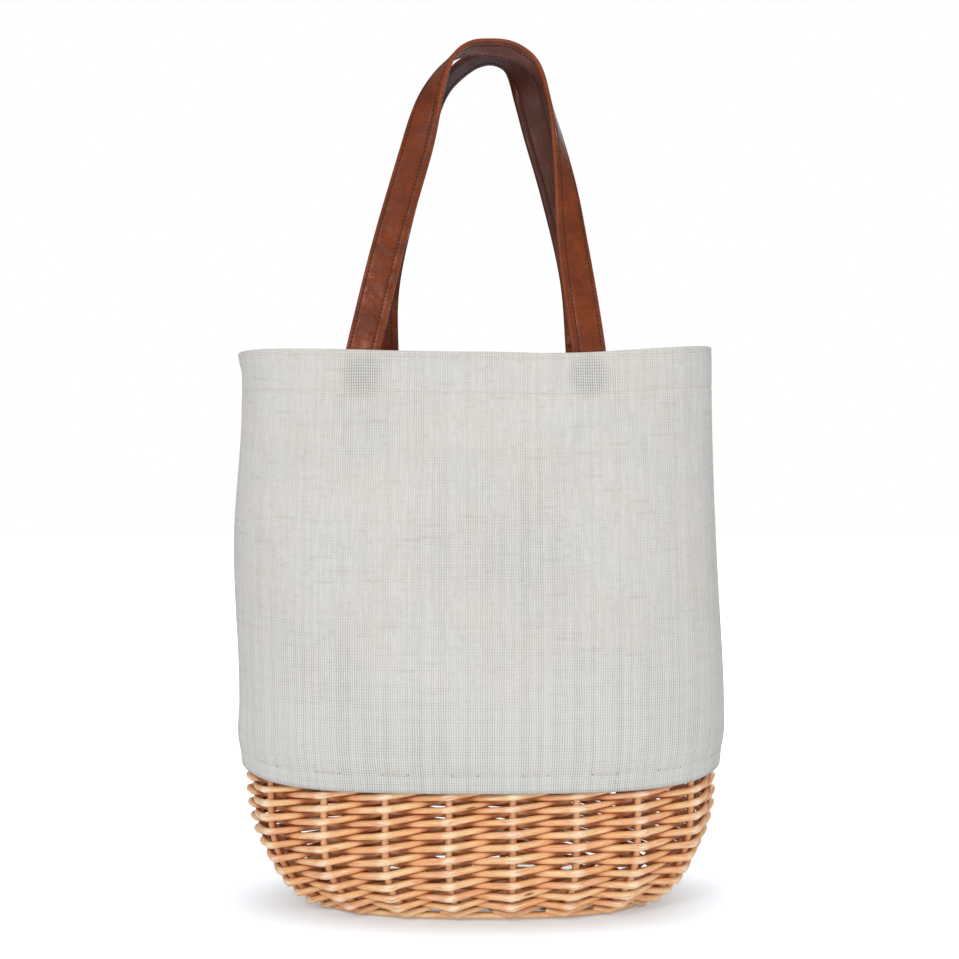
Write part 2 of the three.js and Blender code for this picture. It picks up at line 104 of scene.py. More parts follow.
def ramp(tree, value, low, high, start=0.0, end=1.0):
    step = add_node(tree, "ShaderNodeMapRange", interpolation_type="SMOOTHSTEP")
    settings = {"Value": value, "From Min": low, "From Max": high, "To Min": start, "To Max": end}
    for name, given in settings.items():
        feed(tree, step.inputs[name], given)
    return step.outputs["Result"]


def mix_colour(tree, amount, first, second):
    step = add_node(tree, "ShaderNodeMix", data_type="RGBA", blend_type="MIX")
    feed(tree, step.inputs["Factor"], amount)
    feed(tree, step.inputs[6], first)
    feed(tree, step.inputs[7], second)
    return step.outputs[2]


def grain(tree, place, scale, detail=2.0, roughness=0.5):
    step = add_node(tree, "ShaderNodeTexNoise")
    feed(tree, step.inputs["Vector"], place)
    feed(tree, step.inputs["Scale"], scale)
    feed(tree, step.inputs["Detail"], detail)
    feed(tree, step.inputs["Roughness"], roughness)
    return step.outputs[0]


def vector(tree, x, y, z):
    step = add_node(tree, "ShaderNodeCombineXYZ")
    for socket, value in zip(step.inputs, (x, y, z)):
        feed(tree, socket, value)
    return step.outputs[0]


def bump(tree, height, distance, strength=1.0):
    step = add_node(tree, "ShaderNodeBump")
    feed(tree, step.inputs["Height"], height)
    feed(tree, step.inputs["Distance"], distance)
    feed(tree, step.inputs["Strength"], strength)
    return step.outputs[0]


def colour(red, green, blue):
    """A colour as seen on a screen, 0 to 255, turned into the linear light that shaders mix."""
    parts = [v / 255 for v in (red, green, blue)]
    return (*[v / 12.92 if v <= 0.04045 else ((v + 0.055) / 1.055) ** 2.4 for v in parts], 1.0)


def new_material(name):
    material = bpy.data.materials.new(name)
    material.use_nodes = True
    return material, material.node_tree, material.node_tree.nodes["Principled BSDF"]


print("node helpers ready")

# %% [markdown]
# ## Stage
# The studio is white: a pale floor that catches the contact shadow, and a world that is white to the
# lens but lights the bag only softly and shows as a dim room in its gloss. One soft lamp at the upper
# left makes the form, a low one lifts the basket, a weaker one on the right opens the shadows, one from
# above brightens the floor and one behind lights the back.

# %% Floor
floor_material, tree, shader = new_material("white_floor")
shader.inputs["Base Color"].default_value = (0.80, 0.87, 0.94, 1.0)
shader.inputs["Roughness"].default_value = 0.9
shader.inputs["Specular IOR Level"].default_value = 0.0
shader.inputs["Emission Color"].default_value = (1.0, 1.0, 1.0, 1.0)
rays = add_node(tree, "ShaderNodeLightPath")
seen = calc(tree, "MAXIMUM", rays.outputs["Is Camera Ray"], rays.outputs["Is Transmission Ray"])
# The floor is a little less bright in an oval under the bag, so that the contact shadow stays in view
solid = add_node(tree, "ShaderNodeTexCoord").outputs["Object"]
squeezed = add_node(tree, "ShaderNodeVectorMath", operation="MULTIPLY")
feed(tree, squeezed.inputs[0], solid)
squeezed.inputs[1].default_value = (0.4, 1.0, 1.0)
away = add_node(tree, "ShaderNodeVectorMath", operation="LENGTH")
feed(tree, away.inputs[0], squeezed.outputs[0])
glow = ramp(tree, away.outputs["Value"], 0.055, 0.11, 0.24, 0.56)
glow = calc(tree, "ADD", glow, ramp(tree, away.outputs["Value"], 0.2, 0.9, 0.0, 0.35))
feed(tree, shader.inputs["Emission Strength"], calc(tree, "MULTIPLY", seen, glow))
floor_mesh = bpy.data.meshes.new("floor")
half = 6.0
corners = [(-half, -half, 0), (half, -half, 0), (half, half, 0), (-half, half, 0)]
floor_mesh.from_pydata(corners, [], [(0, 1, 2, 3)])
floor_mesh.materials.append(floor_material)
floor = bpy.data.objects.new("floor", floor_mesh)
bpy.context.scene.collection.objects.link(floor)
print("floor", 2 * half, "m wide")

# %% World and lamps
world = bpy.data.worlds.new("studio")
world.use_nodes = True
bpy.context.scene.world = world
tree = world.node_tree
back = tree.nodes["Background"]
back.inputs["Color"].default_value = (1.0, 1.0, 1.0, 1.0)
rays = add_node(tree, "ShaderNodeLightPath")
seen = calc(tree, "MAXIMUM", rays.outputs["Is Camera Ray"], rays.outputs["Is Transmission Ray"])
room = ramp(tree, rays.outputs["Is Glossy Ray"], 0.0, 1.0, 0.56, 0.2)
feed(tree, back.inputs["Strength"], ramp(tree, seen, 0.0, 1.0, room, 1.0))


def add_lamp(name, place, aim, size, power):
    light = bpy.data.lights.new(name, "AREA")
    light.shape = "DISK"
    light.size = size
    light.energy = power
    lamp = bpy.data.objects.new(name, light)
    lamp.location = place
    lamp.rotation_euler = (Vector(aim) - Vector(place)).to_track_quat("-Z", "Y").to_euler()
    bpy.context.scene.collection.objects.link(lamp)


middle = (0.0, 0.0, 0.3)
add_lamp("key_lamp", (-0.75, -1.55, 1.25), middle, 0.6, 9.5)
add_lamp("low_lamp", (-0.15, -1.5, 0.25), (0.0, 0.0, 0.06), 0.5, 4.0)
add_lamp("fill_lamp", (1.3, -1.2, 0.7), middle, 1.2, 5.0)
add_lamp("top_lamp", (0.0, 0.2, 1.9), middle, 1.4, 5.0)
add_lamp("back_lamp", (0.5, 1.7, 1.0), middle, 1.2, 7.0)
bpy.context.scene.view_settings.view_transform = "Standard"

# %% [markdown]
# ## The basket's wall
# A basket maker sets the stakes first and weaves round them, so everything on the wall is placed by two
# numbers: which stake it is near, and how far up that stake's line it is. The wall is a flared oval
# bowl. These helpers repeat the part's own rule in millimetres.

# %% Oval and wall
RIM_HALF_LENGTH = 168.0
RIM_HALF_DEPTH = 68.0
RIM_HEIGHT = 115.0
BASE_HALF_LENGTH = 112.0
BASE_HALF_DEPTH = 43.0
BASKET_ROUNDNESS = 2.5
END_CURVE_HEIGHT = 75.0
FRONT_CURVE_HEIGHT = 40.0
STAKE_ENDS = 18
END_STAKE = STAKE_ENDS / 2
STAKE_RADIUS = 2.75
STAKE_FLAT = STAKE_RADIUS * math.cos(math.pi / 6)
STAKE_LEAN = 0.13
STAKE_FAN = 0.2
WEAVER_RADIUS = 2.05
ROD_CLEARANCE = 0.35
LONG_STAKE_LIFT = 2 * STAKE_FLAT + ROD_CLEARANCE


def blend_between(a, b, share):
    return a + (b - a) * share


def smooth_share(value, low, high):
    t = min(1.0, max(0.0, (value - low) / (high - low)))
    return t * t * (3 - 2 * t)


def make_oval(half_length, half_depth, roundness, samples=720):
    """A closed oval walked at an even pace: share 0 is the left end and 0.25 the front."""
    points = []
    for i in range(samples + 1):
        angle = math.pi + 2 * math.pi * (i % samples) / samples
        c = math.cos(angle)
        s = math.sin(angle)
        x = half_length * math.copysign(abs(c) ** (2 / roundness), c)
        y = half_depth * math.copysign(abs(s) ** (2 / roundness), s)
        points.append(Vector((x, y, 0)))
    lengths = [0.0]
    for before, after in zip(points, points[1:]):
        lengths.append(lengths[-1] + (after - before).length)

    def point_at(share):
        target = (share % 1.0) * lengths[-1]
        i = min(samples, max(1, bisect.bisect_right(lengths, target)))
        part = (target - lengths[i - 1]) / (lengths[i] - lengths[i - 1])
        return points[i - 1].lerp(points[i], part)

    point_at.length = lengths[-1]
    return point_at


rim_oval = make_oval(RIM_HALF_LENGTH, RIM_HALF_DEPTH, BASKET_ROUNDNESS)


def stakes_to_end(stake):
    place = stake % END_STAKE
    return min(place, END_STAKE - place)


def edge_point(stake):
    fan = STAKE_FAN * math.sin(4 * math.pi * stake / STAKE_ENDS)
    lean = STAKE_LEAN * min(1.0, stakes_to_end(stake))
    rim = rim_oval((stake + lean - fan) / STAKE_ENDS)
    return Vector((rim.x * BASE_HALF_LENGTH / RIM_HALF_LENGTH, rim.y * BASE_HALF_DEPTH / RIM_HALF_DEPTH, 0))


def crossing_offset(bay):
    """How far a rod's middle stands off a stake's middle where it swaps sides from stake to stake."""
    offset = STAKE_FLAT + WEAVER_RADIUS + ROD_CLEARANCE
    for _ in range(4):
        slope = 2 * offset / bay
        sloped_radius = WEAVER_RADIUS * math.hypot(1, slope)
        offset = STAKE_FLAT + STAKE_RADIUS / 2 * slope + sloped_radius + ROD_CLEARANCE
    return offset


base_bay = (edge_point(END_STAKE / 2 - 0.5) - edge_point(END_STAKE / 2 + 0.5)).length
BASE_OFFSET = crossing_offset(base_bay)
FLOOR_CUT = 0.5
BASE_HEIGHT = BASE_OFFSET + WEAVER_RADIUS * math.cos(math.pi / 5) - FLOOR_CUT
WALL_STEPS = 24
wall_lines = {}


def wall_line(stake):
    key = round(stake % STAKE_ENDS, 5)
    if key in wall_lines:
        return wall_lines[key]
    edge = edge_point(stake)
    rim = rim_oval(stake / STAKE_ENDS)
    curve = blend_between(FRONT_CURVE_HEIGHT, END_CURVE_HEIGHT, (abs(rim.x) / RIM_HALF_LENGTH) ** 2)
    foot = BASE_HEIGHT + LONG_STAKE_LIFT * max(0.0, 1 - stakes_to_end(stake))
    line = []
    for i in range(WALL_STEPS + 1):
        angle = math.pi / 2 * i / WALL_STEPS
        point = edge.lerp(rim, math.sin(angle))
        point.z = foot + curve * (1 - math.cos(angle))
        line.append(point)
    line.append(Vector((rim.x, rim.y, RIM_HEIGHT)))
    lengths = [0.0]
    for before, after in zip(line, line[1:]):
        lengths.append(lengths[-1] + (after - before).length)
    wall_lines[key] = (line, lengths)
    return wall_lines[key]


def wall_point(stake, share):
    line, lengths = wall_line(stake)
    target = share * lengths[-1]
    i = min(len(line) - 1, max(1, bisect.bisect_left(lengths, target)))
    return line[i - 1].lerp(line[i], (target - lengths[i - 1]) / (lengths[i] - lengths[i - 1]))


def wall_normal(stake, share):
    along = wall_point(stake + 0.02, share) - wall_point(stake - 0.02, share)
    upward = wall_point(stake, min(1.0, share + 0.02)) - wall_point(stake, max(0.0, share - 0.02))
    return along.cross(upward).normalized()


front_line_length = wall_line(END_STAKE / 2)[1][-1]
print("bay on the base:", round(base_bay, 1), "mm, front wall line:", round(front_line_length, 1), "mm")

# %% [markdown]
# ## Willow
# Peeled willow is honey coloured and satin, with pale streaks along the rod, a pinker shade here and
# there, and a small dark knot every hand's width where a bud sat. The streaks have to run along each
# rod however it bends, so the rods carry their own coordinates: the length along the rod and the
# direction out from its middle.

# %% Willow finish


def willow_finish(name, light, deep, flush):
    material, tree, shader = new_material(name)
    along = add_node(tree, "ShaderNodeAttribute", attribute_name="along").outputs["Fac"]
    section = add_node(tree, "ShaderNodeAttribute", attribute_name="section").outputs["Vector"]
    tone = add_node(tree, "ShaderNodeAttribute", attribute_name="tone").outputs["Fac"]
    parts = add_node(tree, "ShaderNodeSeparateXYZ")
    feed(tree, parts.inputs[0], section)
    shift = calc(tree, "MULTIPLY", tone, 57.0)
    run = calc(tree, "ADD", calc(tree, "MULTIPLY", along, 45.0), shift)
    streak_place = vector(tree, parts.outputs[0], parts.outputs[1], run)
    streak = grain(tree, streak_place, 2.4, 3.0, 0.6)
    slow = calc(tree, "ADD", calc(tree, "MULTIPLY", along, 26.0), shift)
    patch = grain(tree, vector(tree, 0.3, tone, slow), 1.0, 1.0)
    shaded = mix_colour(tree, ramp(tree, patch, 0.32, 0.68), light, deep)
    shaded = mix_colour(tree, ramp(tree, tone, 0.55, 1.0, 0.0, 0.6), shaded, flush)
    shaded = mix_colour(tree, ramp(tree, streak, 0.52, 0.74, 0.0, 0.75), shaded, colour(255, 230, 188))
    shaded = mix_colour(tree, ramp(tree, streak, 0.46, 0.26, 0.0, 0.65), shaded, colour(188, 112, 66))
    # Painted highlight: paler streaks on the rod where it bends out over a stake
    bend = add_node(tree, "ShaderNodeAttribute", attribute_name="swell").outputs["Fac"]
    bend_highlight = calc(tree, "MULTIPLY", ramp(tree, bend, 1.04, 1.12), ramp(tree, streak, 0.35, 0.6, 0.1, 0.7))
    shaded = mix_colour(tree, bend_highlight, shaded, colour(255, 240, 212))
    knot_run = calc(tree, "ADD", calc(tree, "MULTIPLY", along, 17.0), calc(tree, "MULTIPLY", tone, 91.0))
    knot_across = [calc(tree, "MULTIPLY", parts.outputs[i], 0.16) for i in (0, 1)]
    knots = add_node(tree, "ShaderNodeTexVoronoi", feature="F1")
    feed(tree, knots.inputs["Vector"], vector(tree, knot_across[0], knot_across[1], knot_run))
    feed(tree, knots.inputs["Scale"], 1.0)
    knot = ramp(tree, knots.outputs["Distance"], 0.10, 0.03)
    shaded = mix_colour(tree, calc(tree, "MULTIPLY", knot, 0.8), shaded, colour(92, 52, 30))
    # Painted light by depth in the weave: a warm glow of painted bounce light, then dark brown painted
    # shade where the rod lies deep between the others
    depth = add_node(tree, "ShaderNodeAttribute", attribute_name="depth").outputs["Fac"]
    shaded = mix_colour(tree, ramp(tree, depth, 0.0038, 0.0015, 0.0, 0.45), shaded, colour(230, 148, 86))
    shaded = mix_colour(tree, ramp(tree, depth, 0.0021, 0.0003, 0.0, 0.8), shaded, colour(146, 60, 10))
    feed(tree, shader.inputs["Base Color"], shaded)
    feed(tree, shader.inputs["Roughness"], ramp(tree, streak, 0.3, 0.7, 0.44, 0.27))
    shader.inputs["Specular IOR Level"].default_value = 0.36
    relief = calc(tree, "SUBTRACT", streak, calc(tree, "MULTIPLY", knot, 0.8))
    feed(tree, shader.inputs["Normal"], bump(tree, relief, 0.00025, 0.6))
    return material


weaver_colours = (colour(246, 199, 148), colour(240, 177, 122), colour(236, 168, 126))
stake_colours = (colour(243, 193, 144), colour(233, 172, 122), colour(228, 161, 120))
willow = willow_finish("willow", *weaver_colours)
stake_willow = willow_finish("willow_stake", *stake_colours)
print("finishes:", willow.name, stake_willow.name)

# %% [markdown]
# ## Rods
# A rod is a round tube along a path, a little thicker at its butt end than at its tip, and never quite
# straight. That is a job for Geometry Nodes: a guide line goes in, and the tree wobbles it, sweeps a
# circle along it and writes the coordinates that the finish reads. A guide's own "swell" value makes
# the rod full where it crosses a stake, and the finish paints a highlight there. The guide also says
# which way the wall faces and how far off its middle the rod stands, so that the finish can paint shade
# on what lies deep in the weave, with a warm glow of painted bounce light before the dark.

# %% Tree helpers


def add_input(tree, name, kind, value=None):
    socket = tree.interface.new_socket(name=name, in_out="INPUT", socket_type=kind)
    if value is not None:
        socket.default_value = value
    return socket


def new_tree(name):
    tree = bpy.data.node_groups.new(name, "GeometryNodeTree")
    add_input(tree, "Guide", "NodeSocketGeometry")
    tree.interface.new_socket(name="Piece", in_out="OUTPUT", socket_type="NodeSocketGeometry")
    return tree


def store(tree, geometry, name, value, kind="FLOAT"):
    step = add_node(tree, "GeometryNodeStoreNamedAttribute", data_type=kind, domain="POINT")
    step.inputs["Name"].default_value = name
    feed(tree, step.inputs["Geometry"], geometry)
    feed(tree, step.inputs["Value"], value)
    return step.outputs[0]


def read(tree, name, kind):
    step = add_node(tree, "GeometryNodeInputNamedAttribute", data_type=kind)
    step.inputs["Name"].default_value = name
    return step.outputs[0]


def finish_tree(tree, geometry, material_socket, output):
    smooth = add_node(tree, "GeometryNodeSetShadeSmooth")
    real = add_node(tree, "GeometryNodeRealizeInstances")
    coat = add_node(tree, "GeometryNodeSetMaterial")
    feed(tree, real.inputs[0], geometry)
    feed(tree, smooth.inputs[0], real.outputs[0])
    feed(tree, coat.inputs[0], smooth.outputs[0])
    feed(tree, coat.inputs["Material"], material_socket)
    feed(tree, output.inputs[0], coat.outputs[0])


print("tree helpers ready")

# %% Rod tree: its inputs and its wobble
rod_tree = new_tree("willow_rod")
add_input(rod_tree, "Butt radius", "NodeSocketFloat", 0.0024)
add_input(rod_tree, "Tip radius", "NodeSocketFloat", 0.0021)
add_input(rod_tree, "Wobble", "NodeSocketFloat", 0.0004)
add_input(rod_tree, "Sides", "NodeSocketInt", 10)
add_input(rod_tree, "Seed", "NodeSocketFloat", 0.0)
add_input(rod_tree, "Tone", "NodeSocketFloat", 0.5)
add_input(rod_tree, "Finish", "NodeSocketMaterial")
given = add_node(rod_tree, "NodeGroupInput").outputs
out = add_node(rod_tree, "NodeGroupOutput")
curve = add_node(rod_tree, "GeometryNodeMeshToCurve")
feed(rod_tree, curve.inputs[0], given["Guide"])
where = add_node(rod_tree, "GeometryNodeInputPosition").outputs[0]
drift = add_node(rod_tree, "ShaderNodeTexNoise", noise_dimensions="4D")
feed(rod_tree, drift.inputs["Vector"], where)
feed(rod_tree, drift.inputs["W"], given["Seed"])
drift.inputs["Scale"].default_value = 38.0
centred = add_node(rod_tree, "ShaderNodeVectorMath", operation="SUBTRACT")
feed(rod_tree, centred.inputs[0], drift.outputs["Color"])
centred.inputs[1].default_value = (0.5, 0.5, 0.5)
sized = add_node(rod_tree, "ShaderNodeVectorMath", operation="SCALE")
feed(rod_tree, sized.inputs[0], centred.outputs[0])
feed(rod_tree, sized.inputs["Scale"], calc(rod_tree, "MULTIPLY", given["Wobble"], 2.0))
moved = add_node(rod_tree, "GeometryNodeSetPosition")
feed(rod_tree, moved.inputs[0], curve.outputs[0])
feed(rod_tree, moved.inputs["Offset"], sized.outputs[0])
print("rod tree: the guide wobbles,", len(rod_tree.nodes), "nodes")

# %% Rod tree: girth and sweep
pace = add_node(rod_tree, "GeometryNodeSplineParameter")
swell = read(rod_tree, "swell", "FLOAT")
taper = add_node(rod_tree, "ShaderNodeMapRange")
feed(rod_tree, taper.inputs["Value"], pace.outputs["Factor"])
feed(rod_tree, taper.inputs["To Min"], given["Butt radius"])
feed(rod_tree, taper.inputs["To Max"], given["Tip radius"])
girth = calc(rod_tree, "MULTIPLY", taper.outputs[0], swell)
girth = calc(rod_tree, "MULTIPLY", girth, ramp(rod_tree, drift.outputs[0], 0.3, 0.7, 0.96, 1.04))
line = store(rod_tree, moved.outputs[0], "along", pace.outputs["Length"])
line = store(rod_tree, line, "tone", given["Tone"])
spine = add_node(rod_tree, "GeometryNodeInputPosition").outputs[0]
line = store(rod_tree, line, "middle", spine, "FLOAT_VECTOR")
ring = add_node(rod_tree, "GeometryNodeCurvePrimitiveCircle")
ring.inputs["Radius"].default_value = 1.0
feed(rod_tree, ring.inputs["Resolution"], given["Sides"])
ring_place = add_node(rod_tree, "GeometryNodeInputPosition").outputs[0]
profile = store(rod_tree, ring.outputs[0], "section", ring_place, "FLOAT_VECTOR")
sweep = add_node(rod_tree, "GeometryNodeCurveToMesh")
feed(rod_tree, sweep.inputs["Curve"], line)
feed(rod_tree, sweep.inputs["Profile Curve"], profile)
feed(rod_tree, sweep.inputs["Scale"], girth)
sweep.inputs["Fill Caps"].default_value = True
print("rod tree: the circle is swept,", len(rod_tree.nodes), "nodes")

# %% Rod tree: how deep in the weave
# How far each point stands off the wall's middle, by which the finish paints shade
reach = add_node(rod_tree, "ShaderNodeVectorMath", operation="SUBTRACT")
feed(rod_tree, reach.inputs[0], add_node(rod_tree, "GeometryNodeInputPosition").outputs[0])
feed(rod_tree, reach.inputs[1], read(rod_tree, "middle", "FLOAT_VECTOR"))
out_part = add_node(rod_tree, "ShaderNodeVectorMath", operation="DOT_PRODUCT")
feed(rod_tree, out_part.inputs[0], reach.outputs[0])
feed(rod_tree, out_part.inputs[1], read(rod_tree, "outward", "FLOAT_VECTOR"))
off_wall = calc(rod_tree, "ADD", out_part.outputs["Value"], read(rod_tree, "stand", "FLOAT"))
depth = calc(rod_tree, "ABSOLUTE", off_wall)
whole_rod = store(rod_tree, sweep.outputs[0], "depth", depth)
finish_tree(rod_tree, whole_rod, given["Finish"], out)
print("rod tree:", len(rod_tree.nodes), "nodes")

# %% Growing a piece from its guide


class Stop:
    """A stop on a guide, in millimetres.

    It holds its point, the rod's girth there, where the wall faces, and how far off the wall's middle the
    rod stands. A stand of 5 is clear of the weave.
    """

    def __init__(self, point, swell=1.0, outward=(0, 0, 0), stand=5.0):
        self.point = point
        self.swell = swell
        self.outward = outward
        self.stand = stand


def add_attribute(mesh, name, values, kind="FLOAT"):
    field = "vector" if kind == "FLOAT_VECTOR" else "value"
    mesh.attributes.new(name, kind, "POINT").data.foreach_set(field, values)


def guide_line(name, runs, closed=False):
    """Guide lines in metres, each through a list of stops."""
    stops = []
    edges = []
    for run in runs:
        first = len(stops)
        stops += run
        edges += [(i, i + 1) for i in range(first, len(stops) - 1)]
        if closed:
            edges.append((len(stops) - 1, first))
    mesh = bpy.data.meshes.new(name)
    mesh.from_pydata([stop.point * MM for stop in stops], edges, [])
    add_attribute(mesh, "swell", [stop.swell for stop in stops])
    add_attribute(mesh, "stand", [stop.stand * MM for stop in stops])
    add_attribute(mesh, "outward", [part for stop in stops for part in stop.outward], "FLOAT_VECTOR")
    guide = bpy.data.objects.new(name + "_guide", mesh)
    bpy.context.scene.collection.objects.link(guide)
    return guide


def grow(name, guide, tree, **inputs):
    """Runs a tree on a guide and keeps the result as a plain mesh."""
    run = guide.modifiers.new("grow", "NODES")
    run.node_group = tree
    for item in tree.interface.items_tree:
        if item.in_out == "INPUT" and item.name in inputs:
            run[item.identifier] = inputs[item.name]
    bpy.context.view_layer.update()
    mesh = bpy.data.meshes.new_from_object(guide.evaluated_get(bpy.context.evaluated_depsgraph_get()))
    mesh.name = name
    guide.modifiers.remove(run)
    bpy.data.objects.remove(guide)
    piece = bpy.data.objects.new(name, mesh)
    bpy.context.scene.collection.objects.link(piece)
    return piece


ROD_SIDES = 10


def grow_rod(name, runs, node, finish, slot, butt, tip, tone, wobble, closed=False):
    guide = guide_line(name, runs, closed)
    inputs = {"Butt radius": butt * MM, "Tip radius": tip * MM, "Wobble": wobble * MM, "Sides": ROD_SIDES}
    inputs |= {"Seed": tone * 40.0, "Tone": tone, "Finish": finish}
    piece = grow(name, guide, rod_tree, **inputs)
    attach(piece, "bag")
    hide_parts(node)
    return piece


print("ready to grow rods")

# %% [markdown]
# ## Side weavers
# The wall is French randing: one rod starts at each stake, passes in front of one stake and behind the
# next, and climbs one row at every stake. Because all eighteen rods climb together the rows lie level,
# and each stake shows as a column of small windows. A real rod bends sharply over a stake and runs
# nearly straight between two.

# %% Side weavers
WEAVE_ROWS = 23
FIRST_ROW_RISE = 11.0
HOOP_RADIUS = 3.0
FIRST_ROW = FIRST_ROW_RISE / front_line_length
LAST_ROW = 1 - (2 * HOOP_RADIUS + WEAVER_RADIUS + 2 * ROD_CLEARANCE) / front_line_length
STEPS_PER_BAY = 12
LEAD_STEPS = 4
BEND_EASE = 0.15
BEND_SWELL = 1.12
START_SWELL = 0.88
BUTT_RADII = (2.3, 2.6)
TAPERS = (0.1, 0.3)
WEAVER_WOBBLE = 0.4
dice = random.Random(11)


def weave_swing(row):
    """Outside a stake at even rows (1) and inside at odd ones (-1), with a tight bend at each."""
    waves = ((0.84, 1), (0.10, 3), (0.04, 5), (0.02, 7))
    return sum(size * math.cos(count * math.pi * row) for size, count in waves)


def side_weaver(start):
    run = []
    for step in range(-LEAD_STEPS, WEAVE_ROWS * STEPS_PER_BAY + 1):
        row = step / STEPS_PER_BAY
        share = blend_between(FIRST_ROW, LAST_ROW, row / WEAVE_ROWS)
        stake = start + row
        normal = wall_normal(stake, share)
        bay = (wall_point(stake + 0.5, share) - wall_point(stake - 0.5, share)).length
        swing = (crossing_offset(bay) + BEND_EASE) * weave_swing(row)
        bent = max(0.0, math.cos(math.pi * row)) ** 12
        point = wall_point(stake, share) + normal * swing
        swell = blend_between(1.0, BEND_SWELL, bent)
        swell *= blend_between(START_SWELL, 1.0, smooth_share(row, 0.0, 2.0))
        run.append(Stop(point, swell, normal, swing))
    return run


weavers = []
for i in range(STAKE_ENDS):
    label = f"{i + 1:02d}"
    butt = dice.uniform(*BUTT_RADII)
    tip = butt - dice.uniform(*TAPERS)
    run = side_weaver(i)
    node = f"side_weaver_{label}"
    tone = dice.random()
    name = f"weaver_{label}"
    weavers.append(grow_rod(name, [run], node, willow, "willow", butt, tip, tone, WEAVER_WOBBLE))
print("weavers:", len(weavers), "with", sum(len(w.data.polygons) for w in weavers), "faces")

# %% [markdown]
# ## Stakes, base and rim hoops
# Eight stakes cross under the basket from rim to rim and one runs lengthwise, up at both ends. The base
# is filled with straight rods woven over and under them, and two more are laid round its edge where the
# stakes turn up. Two hoops clasp the stake tops under the canvas. They are all the same kind of rod on
# other paths.

# %% Stakes
CROSS_STAKES = 8
STAKE_STEPS = 24
STAKE_STAND = 0.6
STAKE_TIP = 2.6
LONG_STAKE_TIP = 2.7
STAKE_LOOK = {"finish": stake_willow, "slot": "willow_stake", "butt": STAKE_RADIUS, "wobble": 0.2}


def stake_side(stake):
    shares = [1 - i / STAKE_STEPS for i in range(STAKE_STEPS + 1)]
    return [Stop(wall_point(stake, share), 1.0, wall_normal(stake, share), STAKE_STAND) for share in shares]


def stake_run(start, end):
    return stake_side(start) + stake_side(end)[::-1]


stakes = []
for i in range(1, CROSS_STAKES + 1):
    run = stake_run(i, STAKE_ENDS - i)
    tone = dice.random()
    stakes.append(grow_rod(f"stake_{i}", [run], f"cross_stake_{i}", tip=STAKE_TIP, tone=tone, **STAKE_LOOK))
run = stake_run(0, END_STAKE)
stakes.append(grow_rod("stake_long", [run], "long_stake", tip=LONG_STAKE_TIP, tone=0.4, **STAKE_LOOK))
print("stakes:", len(stakes))

# %% Base rods
BASE_RODS_A_SIDE = 6
BASE_ROD_SPACING = 6.4
BASE_ROD_TAIL = 5.0
TAIL_SWING = 0.72
BASE_STEPS = 8
BASE_LOOK = {"finish": willow, "slot": "willow", "butt": WEAVER_RADIUS, "tip": 1.95, "wobble": 0.05}


def base_rod(side, index):
    y = side * index * BASE_ROD_SPACING
    stops = []
    for stake in range(1, CROSS_STAKES + 1):
        front = edge_point(stake)
        rear = edge_point(STAKE_ENDS - stake)
        point = front.lerp(rear, (y - front.y) / (rear.y - front.y))
        over = 1 if (index + stake) % 2 == 0 else -1
        if abs(y) < min(abs(front.y), abs(rear.y)) - WEAVER_RADIUS:
            stops.append((point.x, over))
    run = []
    for (x, over), (next_x, _) in zip(stops, stops[1:]):
        for step in range(BASE_STEPS):
            share = step / BASE_STEPS
            swing = BASE_OFFSET * over * math.cos(math.pi * share)
            run.append(Stop(Vector((blend_between(x, next_x, share), y, BASE_HEIGHT + swing))))
    x, over = stops[-1]
    run.append(Stop(Vector((x, y, BASE_HEIGHT + BASE_OFFSET * over))))
    for place, step in ((0, -1), (len(run), 1)):
        x, over = stops[0 if place == 0 else -1]
        tail = Vector((x + step * BASE_ROD_TAIL, y, BASE_HEIGHT + TAIL_SWING * BASE_OFFSET * over))
        run.insert(place, Stop(tail))
    for stop in run:
        stop.point.z = max(stop.point.z, WEAVER_RADIUS)
    return run


base_rods = []
for index in range(1, BASE_RODS_A_SIDE + 1):
    for side, word in ((-1, "front"), (1, "rear")):
        run = base_rod(side, index)
        name = f"base_{word}_{index}"
        tone = dice.random()
        node = f"base_rod_{word}_{index}"
        base_rods.append(grow_rod(name, [run], node, tone=tone, **BASE_LOOK))
print("base rods:", len(base_rods))

# %% Base edge
EDGE_ROD_RISES = (3.0, 7.2)
EDGE_ROD_RADIUS = 2.1
EDGE_ROD_LIFT = 0.2
EDGE_ROD_STAND = 4.0
RING_STEPS = 144


def edge_rod(rise):
    """A rod laid round the outside of the stakes where they turn up, a given way up the wall's line."""
    run = []
    for i in range(RING_STEPS):
        stake = i * STAKE_ENDS / RING_STEPS
        share = rise / wall_line(stake)[1][-1]
        normal = wall_normal(stake, share)
        point = wall_point(stake, share) + normal * (STAKE_FLAT + WEAVER_RADIUS + ROD_CLEARANCE)
        point.z = max(point.z, WEAVER_RADIUS + EDGE_ROD_LIFT)
        run.append(Stop(point, 1.0, normal, EDGE_ROD_STAND))
    return run


runs = [edge_rod(rise) for rise in EDGE_ROD_RISES]
radii = {"butt": EDGE_ROD_RADIUS, "tip": EDGE_ROD_RADIUS}
edge_look = {"finish": willow, "slot": "willow", "tone": 0.35, "wobble": 0.15, "closed": True}
base_edge = grow_rod("base_edge", runs, "base_edge_rod", **radii, **edge_look)
print("rods round the base's edge:", len(runs), "in", base_edge.name)

# %% Rim hoops
HOOP_OFFSET = STAKE_FLAT + HOOP_RADIUS + ROD_CLEARANCE
HOOP_HEIGHT = RIM_HEIGHT - HOOP_RADIUS
HOOP_GIRTH = {"butt": 2.9, "tip": 2.9}
HOOP_LOOK = {"finish": stake_willow, "slot": "willow_stake", "tone": 0.3, "wobble": 0.0, "closed": True}


